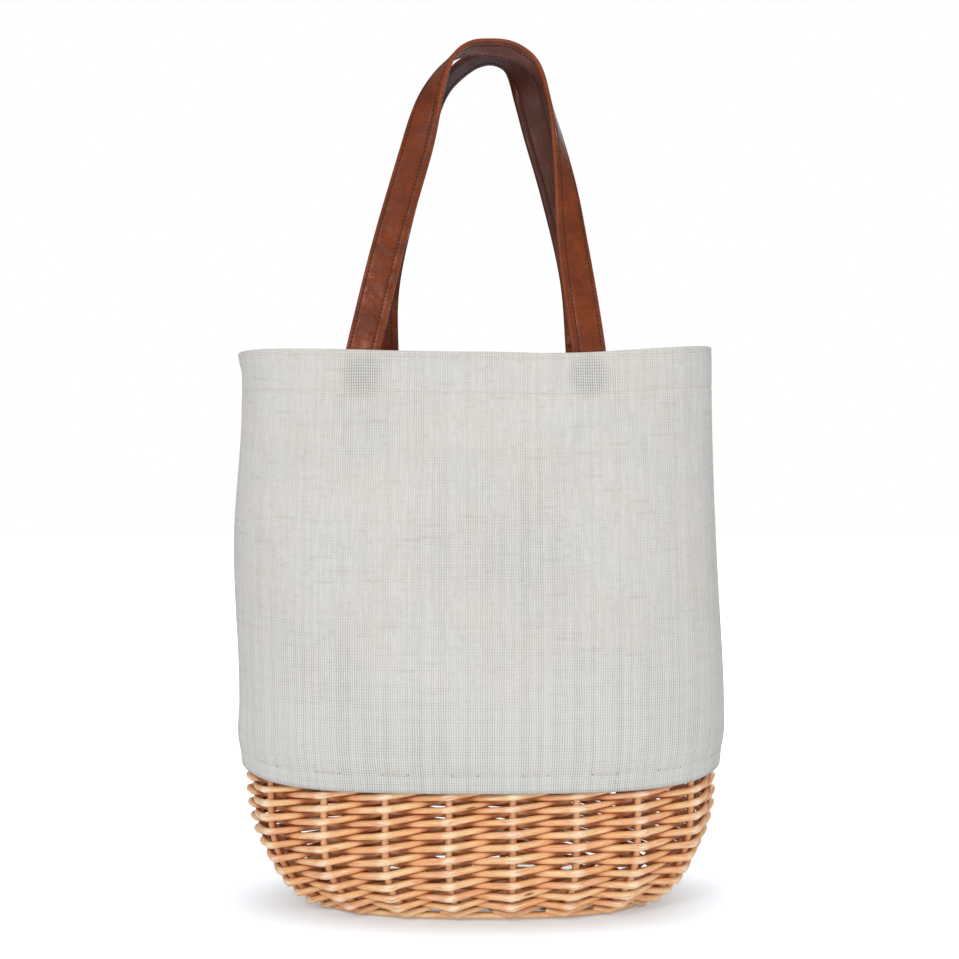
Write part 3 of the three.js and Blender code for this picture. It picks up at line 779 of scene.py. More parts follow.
def rim_hoop(side):
    run = []
    for i in range(RING_STEPS):
        stake = i * STAKE_ENDS / RING_STEPS
        point = wall_point(stake, 1) + wall_normal(stake, 1) * side * HOOP_OFFSET
        point.z = HOOP_HEIGHT
        run.append(Stop(point))
    return run


hoops = []
for side, word in ((1, "outer"), (-1, "inner")):
    run = rim_hoop(side)
    hoops.append(grow_rod(f"hoop_{word}", [run], f"rim_hoop_{word}", **HOOP_GIRTH, **HOOP_LOOK))
print("hoops:", [h.name for h in hoops])

# %% [markdown]
# ## Canvas finish
# The canvas is a coarse plain weave. Up close it is rounded warp threads running up the bag, with the
# weft passing over and under them and a small dark gap at each crossing. From a step away the warp
# reads as fine upright lines. The panels carry a UV map in metres along the cloth, so the threads
# follow every curve. Where a strap end is sewn behind the hem, its dark face shows through the gaps.

# %% Canvas threads
WARP_PITCH = 0.00166
WEFT_PITCH = 0.00200

canvas, tree, shader = new_material("canvas")
cloth = add_node(tree, "ShaderNodeUVMap", uv_map="cloth").outputs[0]
parts = add_node(tree, "ShaderNodeSeparateXYZ")
feed(tree, parts.inputs[0], cloth)
waver = grain(tree, cloth, 60.0, 2.0)
waver = calc(tree, "MULTIPLY", calc(tree, "SUBTRACT", waver, 0.5), 0.9)
warp = calc(tree, "ADD", calc(tree, "DIVIDE", parts.outputs[0], WARP_PITCH), waver)
weft = calc(tree, "ADD", calc(tree, "DIVIDE", parts.outputs[1], WEFT_PITCH), waver)
warp_index = calc(tree, "FLOOR", warp)
weft_index = calc(tree, "FLOOR", weft)


def off_middle(place, index):
    """How far a place is from the middle of its thread: 0 on the middle, 1 at the thread's edge."""
    doubled = calc(tree, "MULTIPLY", calc(tree, "SUBTRACT", place, index), 2.0)
    return calc(tree, "ABSOLUTE", calc(tree, "SUBTRACT", doubled, 1.0))


def thread_height(across, index, other, lift):
    """Height of a round thread that rises over every second thread of the other set."""
    round_part = calc(tree, "SQRT", calc(tree, "SUBTRACT", 1.0, calc(tree, "MULTIPLY", across, across)))
    turn = calc(tree, "MULTIPLY", calc(tree, "ADD", calc(tree, "SUBTRACT", other, 0.5), index), math.pi)
    return calc(tree, "ADD", round_part, calc(tree, "MULTIPLY", calc(tree, "COSINE", turn), lift))


def chance(index):
    """A fixed number from 0 to 1 for each thread."""
    step = add_node(tree, "ShaderNodeTexWhiteNoise", noise_dimensions="1D")
    feed(tree, step.inputs["W"], index)
    return step.outputs["Value"]


warp_across = off_middle(warp, warp_index)
weft_across = off_middle(weft, weft_index)
warp_height = thread_height(warp_across, warp_index, weft, 0.32)
weft_height = calc(tree, "SUBTRACT", thread_height(weft_across, weft_index, warp, -0.45), 0.22)
weave = calc(tree, "MAXIMUM", warp_height, weft_height)
warp_edge = ramp(tree, warp_across, 0.35, 0.95)
weft_edge = ramp(tree, weft_across, 0.45, 1.0)
warp_gap = calc(tree, "MULTIPLY", warp_edge, ramp(tree, chance(warp_index), 0.0, 1.0, 0.55, 1.1))
weft_gap = calc(tree, "MULTIPLY", weft_edge, ramp(tree, chance(weft_index), 0.0, 1.0, 0.3, 1.0))
gap = calc(tree, "MULTIPLY", warp_gap, ramp(tree, weft_gap, 0.0, 1.0, 0.7, 1.0))
gap = calc(tree, "MAXIMUM", gap, calc(tree, "MULTIPLY", weft_gap, 0.38))
print("canvas: warp every", WARP_PITCH * 1000, "mm, weft every", WEFT_PITCH * 1000, "mm")

# %% Canvas colours


def thread_run(along, pace, index, spread):
    """A place along a thread for the noise that thickens it. Each thread starts somewhere else."""
    start = calc(tree, "MULTIPLY", chance(index), spread)
    return calc(tree, "ADD", calc(tree, "MULTIPLY", along, pace), start)


warp_run = thread_run(parts.outputs[1], 55.0, warp_index, 90.0)
slub = grain(tree, vector(tree, 0.4, warp_run, 0.3), 1.0, 1.0)
weft_run = thread_run(parts.outputs[0], 95.0, weft_index, 70.0)
weft_slub = grain(tree, vector(tree, weft_run, 0.4, 0.6), 1.0, 1.0)
cloud = grain(tree, cloth, 22.0, 3.0)
body = mix_colour(tree, ramp(tree, cloud, 0.35, 0.65), colour(207, 203, 197), colour(210, 204, 196))
body = mix_colour(tree, ramp(tree, slub, 0.4, 0.7, 0.0, 0.6), body, colour(217, 214, 210))
body = mix_colour(tree, ramp(tree, weft_slub, 0.58, 0.8, 0.0, 0.3), body, colour(180, 174, 166))
open_weave = ramp(tree, grain(tree, cloth, 9.0, 2.0), 0.35, 0.65, 0.3, 0.55)
open_weave = calc(tree, "ADD", open_weave, ramp(tree, parts.outputs[1], 0.14, 0.02, 0.0, 0.35))
body = mix_colour(tree, ramp(tree, parts.outputs[1], 0.14, 0.02, 0.0, 0.55), body, colour(224, 221, 215))
body = mix_colour(tree, calc(tree, "MULTIPLY", gap, open_weave), body, colour(112, 108, 99))
print("canvas colours mixed in", len(tree.nodes), "nodes")

# %% Strap ends behind the hem
STRAP_X = 0.079
FRONT_SHIFT = -3.5
REAR_SHIFT = -1.5
PATCH_HEIGHT = 0.384
PATCH_HALF_WIDTH = 0.0155
PATCH_HALF_HEIGHT = 0.0165
solid = add_node(tree, "ShaderNodeTexCoord").outputs["Object"]
spot = add_node(tree, "ShaderNodeSeparateXYZ")
feed(tree, spot.inputs[0], solid)
in_front = calc(tree, "LESS_THAN", spot.outputs[1], 0.0)
shift = ramp(tree, in_front, 0.0, 1.0, REAR_SHIFT * MM, -FRONT_SHIFT * MM)
sewn_x = calc(tree, "ABSOLUTE", calc(tree, "ADD", spot.outputs[0], shift))
beside = calc(tree, "DIVIDE", calc(tree, "SUBTRACT", sewn_x, STRAP_X), PATCH_HALF_WIDTH)
below = calc(tree, "DIVIDE", calc(tree, "SUBTRACT", spot.outputs[2], PATCH_HEIGHT), PATCH_HALF_HEIGHT)
spread = calc(tree, "ADD", calc(tree, "POWER", beside, 2.0), calc(tree, "POWER", below, 2.0))
window = ramp(tree, weft_across, 0.2, 0.8, 0.3, 1.0)
window = calc(tree, "MULTIPLY", ramp(tree, warp_across, 0.3, 0.85), window)
backed = calc(tree, "MULTIPLY", ramp(tree, spread, 1.3, 0.1), ramp(tree, window, 0.0, 0.9, 0.03, 0.8))
body = mix_colour(tree, backed, body, colour(104, 107, 103))
feed(tree, shader.inputs["Base Color"], body)
shader.inputs["Roughness"].default_value = 0.92
shader.inputs["Specular IOR Level"].default_value = 0.2
shader.inputs["Sheen Weight"].default_value = 0.08
relief = calc(tree, "ADD", weave, calc(tree, "MULTIPLY", slub, 0.6))
feed(tree, shader.inputs["Normal"], bump(tree, relief, 0.0003, 0.55))
print("canvas finish:", len(tree.nodes), "nodes")

# %% [markdown]
# ## Canvas panels
# Each panel is one cloth that runs from side seam to side seam, and from the lower edge, which laps
# over the rim, up to the mouth, over the fold and down again inside as the hem. It is lofted through
# ovals that start round at the basket and end squarer at the mouth, and then let sag: slow swells
# between the seams, a tuck along the running stitches and shallow grooves where the hem is stitched.
# The whole tube hangs a little out of true, as a sewn bag does. Solidify gives the cloth its thickness.

# %% Canvas sizes
CANVAS_FOOT = 96.0
MOUTH_HEIGHT = 401.0
MOUTH_HALF_LENGTH = 177.5
MOUTH_HALF_DEPTH = 67.0
MOUTH_ROUNDNESS = 3.5
SEAM_RISE = 9.0
HEM_DEPTH = 30.0
HEM_FOLD = 1.45
BULGE_HEIGHT = 172.0
TUCK_HEIGHT = 109.0
HEM_STITCH_LINES = (4.0, 28.5)
# Height, half length, half depth and roundness of the canvas, measured on its outside
CANVAS_LEVELS = [
    (96.0, 177.4, 77.4, 2.5),
    (104.0, 178.2, 78.2, 2.5),
    (112.0, 179.6, 79.6, 2.5),
    (130.0, 181.2, 81.2, 2.5),
    (172.0, 182.0, 82.0, 2.5),
    (240.0, 180.8, 77.8, 2.8),
    (310.0, 179.3, 73.0, 3.1),
    (371.0, 178.0, 68.9, 3.36),
    (MOUTH_HEIGHT, MOUTH_HALF_LENGTH, MOUTH_HALF_DEPTH, MOUTH_ROUNDNESS),
]


def canvas_size(height):
    """Half length, half depth and roundness at a height, on a smooth curve through the levels."""
    heights = [level[0] for level in CANVAS_LEVELS]
    i = min(len(heights) - 2, max(0, bisect.bisect_right(heights, height) - 1))
    span = heights[i + 1] - heights[i]
    t = min(1.0, max(0.0, (height - heights[i]) / span))
    sizes = []
    for k in (1, 2, 3):
        def slope(j):
            low = max(0, j - 1)
            high = min(len(heights) - 1, j + 1)
            return (CANVAS_LEVELS[high][k] - CANVAS_LEVELS[low][k]) / (heights[high] - heights[low])
        a = CANVAS_LEVELS[i][k]
        b = CANVAS_LEVELS[i + 1][k]
        curve_a = (1 + 2 * t) * (1 - t) ** 2 * a + t * t * (3 - 2 * t) * b
        curve_b = t * (1 - t) ** 2 * span * slope(i) - t * t * (1 - t) * span * slope(i + 1)
        sizes.append(curve_a + curve_b)
    return sizes


oval_cache = {}


def canvas_oval(height):
    key = round(height, 3)
    if key not in oval_cache:
        oval_cache[key] = make_oval(*canvas_size(height), samples=360)
    return oval_cache[key]


# Half the way round the bag at the middle of the canvas
PANEL_MIDDLE = 250.0
PANEL_LENGTH = canvas_oval(PANEL_MIDDLE).length / 2
print("a panel from seam to seam:", round(PANEL_LENGTH, 1), "mm")

# %% Canvas sag
SLOW_SWELL = 2.6
QUICK_SWELL = 1.2
FOOT_RIPPLE = 0.9
TUCK_DEPTH = 0.7
SEAM_DEPTH = 1.3
SEAM_WIDTH = 2.2
SEAM_SPAN = 437.0
TUCK_WIDTH = 2.4
# Heights between which the cloth gets loose, gets firm again, starts to ripple and stops
LOOSE_BAND = (112, 190)
FIRM_BAND = (340, 398)
RIPPLE_BAND = (104, 120)
CALM_BAND = (150, 260)


def canvas_sag(share, height):
    """How far the cloth stands out from its plain loft, by place along the panel and height."""
    loose = smooth_share(height, *LOOSE_BAND) * (1 - 0.55 * smooth_share(height, *FIRM_BAND))
    swell = SLOW_SWELL * noise.noise((share * 5.2, height / 150, 3.7))
    swell += QUICK_SWELL * noise.noise((share * 13.0, height / 90, 9.1))
    ripple = FOOT_RIPPLE * noise.noise((share * 34.0, height / 70, 5.5))
    ripple *= smooth_share(height, *RIPPLE_BAND) * (1 - smooth_share(height, *CALM_BAND))
    tuck = -TUCK_DEPTH * math.exp(-((height - TUCK_HEIGHT) / TUCK_WIDTH) ** 2)
    tuck *= 0.7 + 0.6 * noise.noise((share * 46.0, 0.0, 1.3))
    from_seam = min(share, 1 - share) * SEAM_SPAN
    seam = -SEAM_DEPTH * math.exp(-((from_seam / SEAM_WIDTH) ** 2))
    return loose * swell + ripple + tuck + seam


print("sag at the middle of a panel:", round(canvas_sag(0.5, PANEL_MIDDLE), 2), "mm")

# %% Canvas hang
FOOT_RISE = 9.0
FOOT_RISE_TOP = 150.0
RIGHT_DROP = 1.3
RIGHT_DROP_PLACE = 50.0
STRAP_DROP = 0.6
STRAP_DROP_PLACE = 75.0
STRAP_DROP_WIDTH = 30.0
RIGHT_LEAN = 7.4
RIGHT_LEAN_TOP = 300.0
LEFT_DROP = 5.6
LEFT_SWELL = 0.5
LEFT_BILLOW = 2.1
BILLOW_HEIGHT = 162.0
BILLOW_LENGTH = 208.0
BILLOW_BAND = (112, 150)
CORNER_BAND = (385, MOUTH_HEIGHT)
CORNER_PULL = 1.4


def canvas_hang(x, height):
    """How the sewn tube hangs: the shift to the side and upwards of a point of the plain loft."""
    end = x / MOUTH_HALF_LENGTH
    high = max(0.0, (height - BULGE_HEIGHT) / (MOUTH_HEIGHT - BULGE_HEIGHT))
    up = SEAM_RISE * end ** 2 * high
    up += FOOT_RISE * abs(end) ** 8 * (1 - smooth_share(height, CANVAS_FOOT, FOOT_RISE_TOP))
    if x > 0:
        by_strap = STRAP_DROP * math.exp(-((x - STRAP_DROP_PLACE) / STRAP_DROP_WIDTH) ** 2)
        up -= (RIGHT_DROP * smooth_share(x, 0, RIGHT_DROP_PLACE) + by_strap) * high
        return -RIGHT_LEAN * end ** 4 * smooth_share(height, RIM_HEIGHT, RIGHT_LEAN_TOP), up
    up -= LEFT_DROP * abs(end) ** 3.5 * high
    billow = LEFT_SWELL + LEFT_BILLOW * math.cos(2 * math.pi * (height - BILLOW_HEIGHT) / BILLOW_LENGTH)
    billow *= smooth_share(height, *BILLOW_BAND) * (1 - CORNER_PULL * smooth_share(height, *CORNER_BAND))
    return billow * end ** 4, up


corner_shift = canvas_hang(MOUTH_HALF_LENGTH, MOUTH_HEIGHT)
print("right corner of the mouth moves", [round(v, 1) for v in corner_shift], "mm aside and up")

# %% Canvas shape
HEM_GROOVE = 0.45
HEM_GROOVE_WIDTH = 1.1
NORMAL_STEP = 0.004
SEAM_GAP = 0.01
ROW_STEP = 4.0
FOLD_STEPS = 6
HEM_ROWS = 8


def canvas_point(front, share, height, inward=0.0):
    """A point of a panel's outside: share 0 to 1 from seam to seam, height as at the panel's middle."""
    start = 0.0 if front else 0.5
    place = start + 0.5 * share
    oval = canvas_oval(height)
    point = oval(place)
    if share <= 0.0 or share >= 1.0:
        point.y = 0.0
    along = oval(place + NORMAL_STEP) - oval(place - NORMAL_STEP)
    normal = Vector((along.y, -along.x, 0)).normalized()
    below = MOUTH_HEIGHT - height
    groove = sum(math.exp(-(((below - depth) / HEM_GROOVE_WIDTH) ** 2)) for depth in HEM_STITCH_LINES)
    aside, up = canvas_hang(point.x, height)
    point = point + normal * (canvas_sag(share, height) - HEM_GROOVE * groove - inward)
    point.x += aside
    point.y += -SEAM_GAP if front else SEAM_GAP
    point.z = height + up
    return point


def canvas_rows():
    """The cloth's rows as heights and how far in: up the outside, over the fold and down the hem."""
    heights = {CANVAS_FOOT + ROW_STEP * i for i in range(int((MOUTH_HEIGHT - CANVAS_FOOT) / ROW_STEP) + 1)}
    for depth in HEM_STITCH_LINES:
        heights |= {MOUTH_HEIGHT - depth + d for d in (-2.0, -1.0, 0.0, 1.0, 2.0)}
    heights |= {TUCK_HEIGHT + d for d in (-4.0, -2.5, -1.2, 0.0, 1.2, 2.5, 4.0)}
    top = MOUTH_HEIGHT - HEM_FOLD
    rows = [(h, 0.0) for h in sorted(heights) if h < top - 0.4]
    for i in range(FOLD_STEPS + 1):
        angle = math.pi * i / FOLD_STEPS
        rows.append((top + HEM_FOLD * math.sin(angle), HEM_FOLD * (1 - math.cos(angle))))
    rows += [(top - HEM_DEPTH * i / HEM_ROWS, 2 * HEM_FOLD) for i in range(1, HEM_ROWS + 1)]
    return rows


mouth_length = canvas_oval(MOUTH_HEIGHT).length
print("canvas rows:", len(canvas_rows()), "round the mouth:", round(mouth_length, 1), "mm")

# %% Canvas panels
PANEL_COLUMNS = 150
CLOTH_THICKNESS = 1.25


def panel_shares():
    """Places across a panel, closer together at the side seams."""
    near = [0.0, 0.0022, 0.0045, 0.007, 0.010, 0.014]
    middle = [0.02 + 0.96 * i / PANEL_COLUMNS for i in range(PANEL_COLUMNS + 1)]
    return near + middle + [1 - s for s in reversed(near)]


def canvas_panel(name, front):
    rows = canvas_rows()
    shares = panel_shares()
    points = []
    places = []
    for share in shares:
        climb = 0.0
        before = None
        for height, inward in rows:
            point = canvas_point(front, share, height, inward)
            if before is not None:
                climb += (point - before).length
            before = point
            points.append(point * MM)
            places.append((share * PANEL_LENGTH * MM, climb * MM))
    count = len(rows)
    faces = []
    for i in range(len(shares) - 1):
        for j in range(count - 1):
            here = i * count + j
            beside = here + count
            faces.append((here, beside, beside + 1, here + 1))
    mesh = bpy.data.meshes.new(name)
    mesh.from_pydata(points, [], faces)
    layer = mesh.uv_layers.new(name="cloth")
    for loop in mesh.loops:
        layer.data[loop.index].uv = places[loop.vertex_index]
    mesh.materials.append(canvas)
    mesh.polygons.foreach_set("use_smooth", [True] * len(faces))
    panel = bpy.data.objects.new(name, mesh)
    bpy.context.scene.collection.objects.link(panel)
    thick = panel.modifiers.new("cloth", "SOLIDIFY")
    thick.thickness = CLOTH_THICKNESS * MM
    thick.offset = -1.0
    return panel


for word, front in (("front", True), ("rear", False)):
    panel = canvas_panel(f"{word}_canvas", front)
    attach(panel, "bag")
    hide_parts(f"{word}_canvas_panel")

# %% [markdown]
# ## Strap finish
# The straps are brown leather with a satin face: a fine pebbled grain, a slow mottling from handling,
# faint creases across the strap with painted shade in them, and a paler band along the rolled edges. The
# straps carry a UV map of length and width, so the creases run across them wherever they turn. The rear
# strap's underside has painted shade, darker towards the top, where the front strap shades it.

# %% Strap finish
leather, tree, shader = new_material("leather")
strap_place = add_node(tree, "ShaderNodeUVMap", uv_map="strap").outputs[0]
parts = add_node(tree, "ShaderNodeSeparateXYZ")
feed(tree, parts.inputs[0], strap_place)
solid = add_node(tree, "ShaderNodeTexCoord").outputs["Object"]
pebbles = add_node(tree, "ShaderNodeTexVoronoi", feature="SMOOTH_F1")
feed(tree, pebbles.inputs["Vector"], solid)
pebbles.inputs["Scale"].default_value = 950.0
mottle = grain(tree, solid, 48.0, 4.0, 0.6)


def stretched_place(along, across):
    """The strap's place with its length and width scaled, for a noise that is longer one way."""
    long_way = calc(tree, "MULTIPLY", parts.outputs[0], along)
    wide_way = calc(tree, "MULTIPLY", parts.outputs[1], across)
    return vector(tree, long_way, wide_way, 0.0)


crease = grain(tree, stretched_place(210.0, 42.0), 1.0, 2.0)
crease = calc(tree, "MULTIPLY", ramp(tree, crease, 0.56, 0.72), ramp(tree, mottle, 0.42, 0.62))
skin = mix_colour(tree, ramp(tree, mottle, 0.3, 0.72), colour(98, 41, 17), colour(128, 60, 27))
# Painted shade: the creases are darkened
skin = mix_colour(tree, calc(tree, "MULTIPLY", crease, 0.45), skin, colour(68, 27, 12))
# Paler along the rolled edges
edge = calc(tree, "ABSOLUTE", parts.outputs[1])
skin = mix_colour(tree, ramp(tree, edge, 0.0100, 0.0122, 0.0, 0.35), skin, colour(150, 76, 40))
spot = add_node(tree, "ShaderNodeSeparateXYZ")
feed(tree, spot.inputs[0], solid)
# Painted shade: the rear strap's underside is darkened, more towards the top, where the front strap shades
# it
lining = add_node(tree, "ShaderNodeAttribute", attribute_name="lining").outputs["Fac"]
painted_lining_shade = calc(tree, "MULTIPLY", lining, ramp(tree, spot.outputs[1], -0.002, 0.004, 0.0, 0.8))
painted_lining_shade = calc(tree, "MULTIPLY", painted_lining_shade, ramp(tree, spot.outputs[2], 0.44, 0.53, 0.3, 1.0))
skin = mix_colour(tree, painted_lining_shade, skin, colour(56, 20, 8))
feed(tree, shader.inputs["Base Color"], skin)
feed(tree, shader.inputs["Roughness"], ramp(tree, mottle, 0.3, 0.7, 0.46, 0.26))
shader.inputs["Specular IOR Level"].default_value = 0.24
wrinkle = grain(tree, stretched_place(75.0, 55.0), 1.0, 2.0)
wrinkle = calc(tree, "MULTIPLY", wrinkle, ramp(tree, spot.outputs[2], 0.54, 0.46, 0.8, 9.5))
hide = calc(tree, "MULTIPLY", pebbles.outputs["Distance"], -0.5)
hide = calc(tree, "SUBTRACT", hide, calc(tree, "MULTIPLY", crease, 0.8))
hide = calc(tree, "ADD", hide, wrinkle)
feed(tree, shader.inputs["Normal"], bump(tree, hide, 0.0004, 0.5))
print("finish:", leather.name)

# %% [markdown]
# ## Straps
# One strap makes each handle. It comes up flat from inside the hem, leans in as it rises, turns over
# the top so that its face lies upwards, and goes down again to its other end. Its path is a smooth
# curve through stops that lie on or near the part's, and its section is a soft pillow with rolled edges
# and a groove along each line of stitching.

# %% Strap path
STRAP_HALF_WIDTH = 12.0
STRAP_THICKNESS = 3.3
STRAP_END_LENGTH = 29.0
HANDLE_RISE = 227.5
SEAT_GAP = 0.3
HEM_THICKNESS = 3.0
BULGE_HALF_LENGTH = 182.03
BULGE_HALF_DEPTH = 82.03
# Where each handle passes, as shares of its half spread and of its rise, seen from its own side of the bag
HANDLE_STOPS = {
    "front": [
        (-1.0, 0.0), (-0.79, 0.33), (-0.556, 0.64), (-0.389, 0.865), (-0.226, 0.965), (-0.056, 0.998),
        (0.11, 1.0), (0.344, 0.987), (0.55, 0.932), (0.695, 0.79), (0.807, 0.57), (0.877, 0.33), (1.0, 0.0),
    ],
    "rear": [
        (-1.0, 0.0), (-0.92, 0.29), (-0.724, 0.565), (-0.558, 0.75), (-0.38, 0.94), (-0.265, 0.99),
        (-0.09, 1.01), (0.032, 1.004), (0.133, 0.988), (0.36, 0.922), (0.535, 0.82), (0.785, 0.556),
        (0.984, 0.256), (1.0, 0.0),
    ],
}
# How far each handle is sewn to the side of the middle, and the shares of its length between which the
# strap turns from face on to flat on top, and back, with the angle that it turns through
HANDLE_SHIFT = {"front": FRONT_SHIFT, "rear": REAR_SHIFT}
HANDLE_TURNS = {"front": ((0.27, 0.53), (0.55, 0.98), 90), "rear": ((0.375, 0.49), (0.56, 0.74), 68)}
strap_x = STRAP_X / MM
strap_outer_x = strap_x + STRAP_HALF_WIDTH - min(HANDLE_SHIFT.values())


def hem_inside(x, below):
    """Distance of the hem's inside face from the middle plane, at a place and a depth below the mouth."""
    mouth = MOUTH_HEIGHT + SEAM_RISE * (x / MOUTH_HALF_LENGTH) ** 2
    share = 1 - below / (mouth - BULGE_HEIGHT)
    length = blend_between(BULGE_HALF_LENGTH, MOUTH_HALF_LENGTH, share) - HEM_THICKNESS
    depth = blend_between(BULGE_HALF_DEPTH, MOUTH_HALF_DEPTH, share) - HEM_THICKNESS
    roundness = blend_between(BASKET_ROUNDNESS, MOUTH_ROUNDNESS, share)
    return depth * (1 - (x / length) ** roundness) ** (1 / roundness)


hem_top = MOUTH_HEIGHT + SEAM_RISE * (strap_outer_x / MOUTH_HALF_LENGTH) ** 2
strap_seat = hem_inside(strap_outer_x, 0) - SEAT_GAP - STRAP_THICKNESS / 2


def smooth_path(stops, per_span):
    """Centripetal Catmull-Rom curve through the stops."""
    padded_stops = [2 * stops[0] - stops[1], *stops, 2 * stops[-1] - stops[-2]]
    path = []
    for a, b, c, d in zip(padded_stops, padded_stops[1:], padded_stops[2:], padded_stops[3:]):
        ab, bc, cd = [max(1e-6, (q - p).length ** 0.5) for p, q in ((a, b), (b, c), (c, d))]
        lean_b = ((b - a) / ab - (c - a) / (ab + bc) + (c - b) / bc) * bc
        lean_c = ((c - b) / bc - (d - b) / (bc + cd) + (d - c) / cd) * bc
        for i in range(per_span):
            t = i / per_span
            lines = (2 * t ** 3 - 3 * t * t + 1) * b + (3 * t * t - 2 * t ** 3) * c
            path.append(lines + (t ** 3 - 2 * t * t + t) * lean_b + (t ** 3 - t * t) * lean_c)
    path.append(stops[-1].copy())
    return path


def even_path(path, count):
    lengths = [0.0]
    for before, after in zip(path, path[1:]):
        lengths.append(lengths[-1] + (after - before).length)
    made = []
    for i in range(count + 1):
        target = lengths[-1] * i / count
        k = min(len(path) - 1, max(1, bisect.bisect_left(lengths, target)))
        made.append(path[k - 1].lerp(path[k], (target - lengths[k - 1]) / (lengths[k] - lengths[k - 1])))
    return made, lengths[-1]


STRAP_STEPS = 150
STEPS_PER_SPAN = 60
APEX_GAP = 0.5
apex_depth = STRAP_HALF_WIDTH + APEX_GAP


def handle_path(word):
    stops = []
    for across, rise in HANDLE_STOPS[word]:
        x = across * strap_x + HANDLE_SHIFT[word]
        y = -blend_between(strap_seat, apex_depth, min(1.0, rise))
        stops.append(Vector((x, y, hem_top + SEAT_GAP + rise * HANDLE_RISE)))
    return even_path(smooth_path(stops, STEPS_PER_SPAN), STRAP_STEPS)


print("handles:", {word: round(handle_path(word)[1], 1) for word in HANDLE_STOPS}, "mm from hem to hem")

# %% Strap frames
END_STATIONS = 13
SQUARE_SHARE = 0.035


def strap_turn(word, share):
    left, right, angle = HANDLE_TURNS[word]
    return math.radians(angle) * min(smooth_share(share, *left), 1 - smooth_share(share, *right))


def sewn_end(x, across, start, heading):
    """Frames of one end of the strap, flat inside the hem, from its end up to the fold."""
    made = []
    for i in range(END_STATIONS):
        below = STRAP_END_LENGTH * (1 - i / (END_STATIONS - 0.5))
        seat = hem_inside(strap_outer_x, below) - SEAT_GAP - STRAP_THICKNESS / 2
        place = Vector((x, -seat, hem_top - below))
        made.append((place, across, Vector((0, -1, 0)), start + heading * below))
    return made


def strap_frames(word):
    """Point, across and outward directions and length along, from one sewn end to the other."""
    path, length = handle_path(word)
    rise = path[STRAP_STEPS // 2] - path[0]
    lean = Vector((0, rise.y, rise.z)).normalized()
    facing = Vector((0, -lean.z, lean.y))
    frames = []
    for i, point in enumerate(path):
        share = i / STRAP_STEPS
        tangent = (path[min(STRAP_STEPS, i + 1)] - path[max(0, i - 1)]).normalized()
        square = 1 - smooth_share(min(share, 1 - share), 0.0, SQUARE_SHARE)
        tangent = tangent.lerp(Vector((0, 0, 1 if share < 0.5 else -1)), square).normalized()
        flat = facing.lerp(Vector((0, -1, 0)), square)
        flat = (flat - tangent * flat.dot(tangent)).normalized()
        angle = strap_turn(word, share)
        normal = flat * math.cos(angle) + flat.cross(tangent) * math.sin(angle)
        frames.append((point, normal.cross(tangent), normal, share * length))
    first = sewn_end(path[0].x, frames[0][1], 0.0, -1)
    last = sewn_end(path[-1].x, frames[-1][1], length, 1)
    return first + frames + last[::-1]


def turned(point, word):
    return Vector((-point.x, -point.y, point.z)) if word == "rear" else point


frames = {word: strap_frames(word) for word in HANDLE_STOPS}
print("strap stations:", {word: len(made) for word, made in frames.items()})

# %% Strap section
# The two lines of stitching, across from the strap's middle: one near the outer edge, one farther in
STITCH_LINES = (9.1, -6.5)
STITCH_GROOVE = 0.42
STITCH_GROOVE_WIDTH = 0.8
EDGE_ROLL = 1.9
EDGE_LEAST = 0.12
MIDDLE_HALF_THICKNESS = 1.74
CROWN = 0.1


def strap_half_thickness(across):
    past = max(0.0, abs(across) - STRAP_HALF_WIDTH + EDGE_ROLL) / EDGE_ROLL
    rolled = math.sqrt(max(0.0, 1 - past * past))
    dips = [math.exp(-(((across - line) / STITCH_GROOVE_WIDTH) ** 2)) for line in STITCH_LINES]
    plain = MIDDLE_HALF_THICKNESS - CROWN * (across / STRAP_HALF_WIDTH) ** 2
    return plain * max(EDGE_LEAST, rolled) - STITCH_GROOVE * sum(dips) * rolled


def strap_section():
    places = [0.75 * i for i in range(-13, 14)]
    places = sorted(places + [side * p for side in (-1, 1) for p in (10.4, 11.0, 11.5, 11.8, 11.95)])
    top = [(a, strap_half_thickness(a)) for a in places]
    return top + [(a, -t) for a, t in reversed(top)]


print("section points:", len(strap_section()), "thickest:", round(2 * strap_half_thickness(0.0), 2), "mm")


def strap_piece(word):
    section = strap_section()
    count = len(section)
    points = []
    places = []
    for point, across, normal, along in frames[word]:
        for a, t in section:
            points.append(turned(point + across * a + normal * t, word) * MM)
            places.append((along * MM, a * MM))
    faces = []
    for i in range(len(frames[word]) - 1):
        for k in range(count):
            after = (k + 1) % count
            here = i * count
            beyond = here + count
            faces.append((here + k, beyond + k, beyond + after, here + after))
    last = (len(frames[word]) - 1) * count
    faces.append(tuple(range(count)))
    faces.append(tuple(last + k for k in reversed(range(count))))
    mesh = bpy.data.meshes.new(f"{word}_strap")
    mesh.from_pydata(points, [], faces)
    layer = mesh.uv_layers.new(name="strap")
    for loop in mesh.loops:
        layer.data[loop.index].uv = places[loop.vertex_index]
    under = [0.0 if t > 0 else 1.0 for _, t in section] * len(frames[word])
    add_attribute(mesh, "lining", under)
    mesh.materials.append(leather)
    mesh.polygons.foreach_set("use_smooth", [True] * (len(faces) - 2) + [False, False])
    strap = bpy.data.objects.new(f"{word}_strap", mesh)
    bpy.context.scene.collection.objects.link(strap)
    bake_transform(strap)
    sewn_ends = [f"{word}_strap_end_{i}" for i in (1, 2)]
    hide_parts(f"{word}_handle_face", f"{word}_handle_backing", *sewn_ends)
    return strap


straps = {word: strap_piece(word) for word in HANDLE_STOPS}
print("straps:", {name: len(s.data.polygons) for name, s in straps.items()})

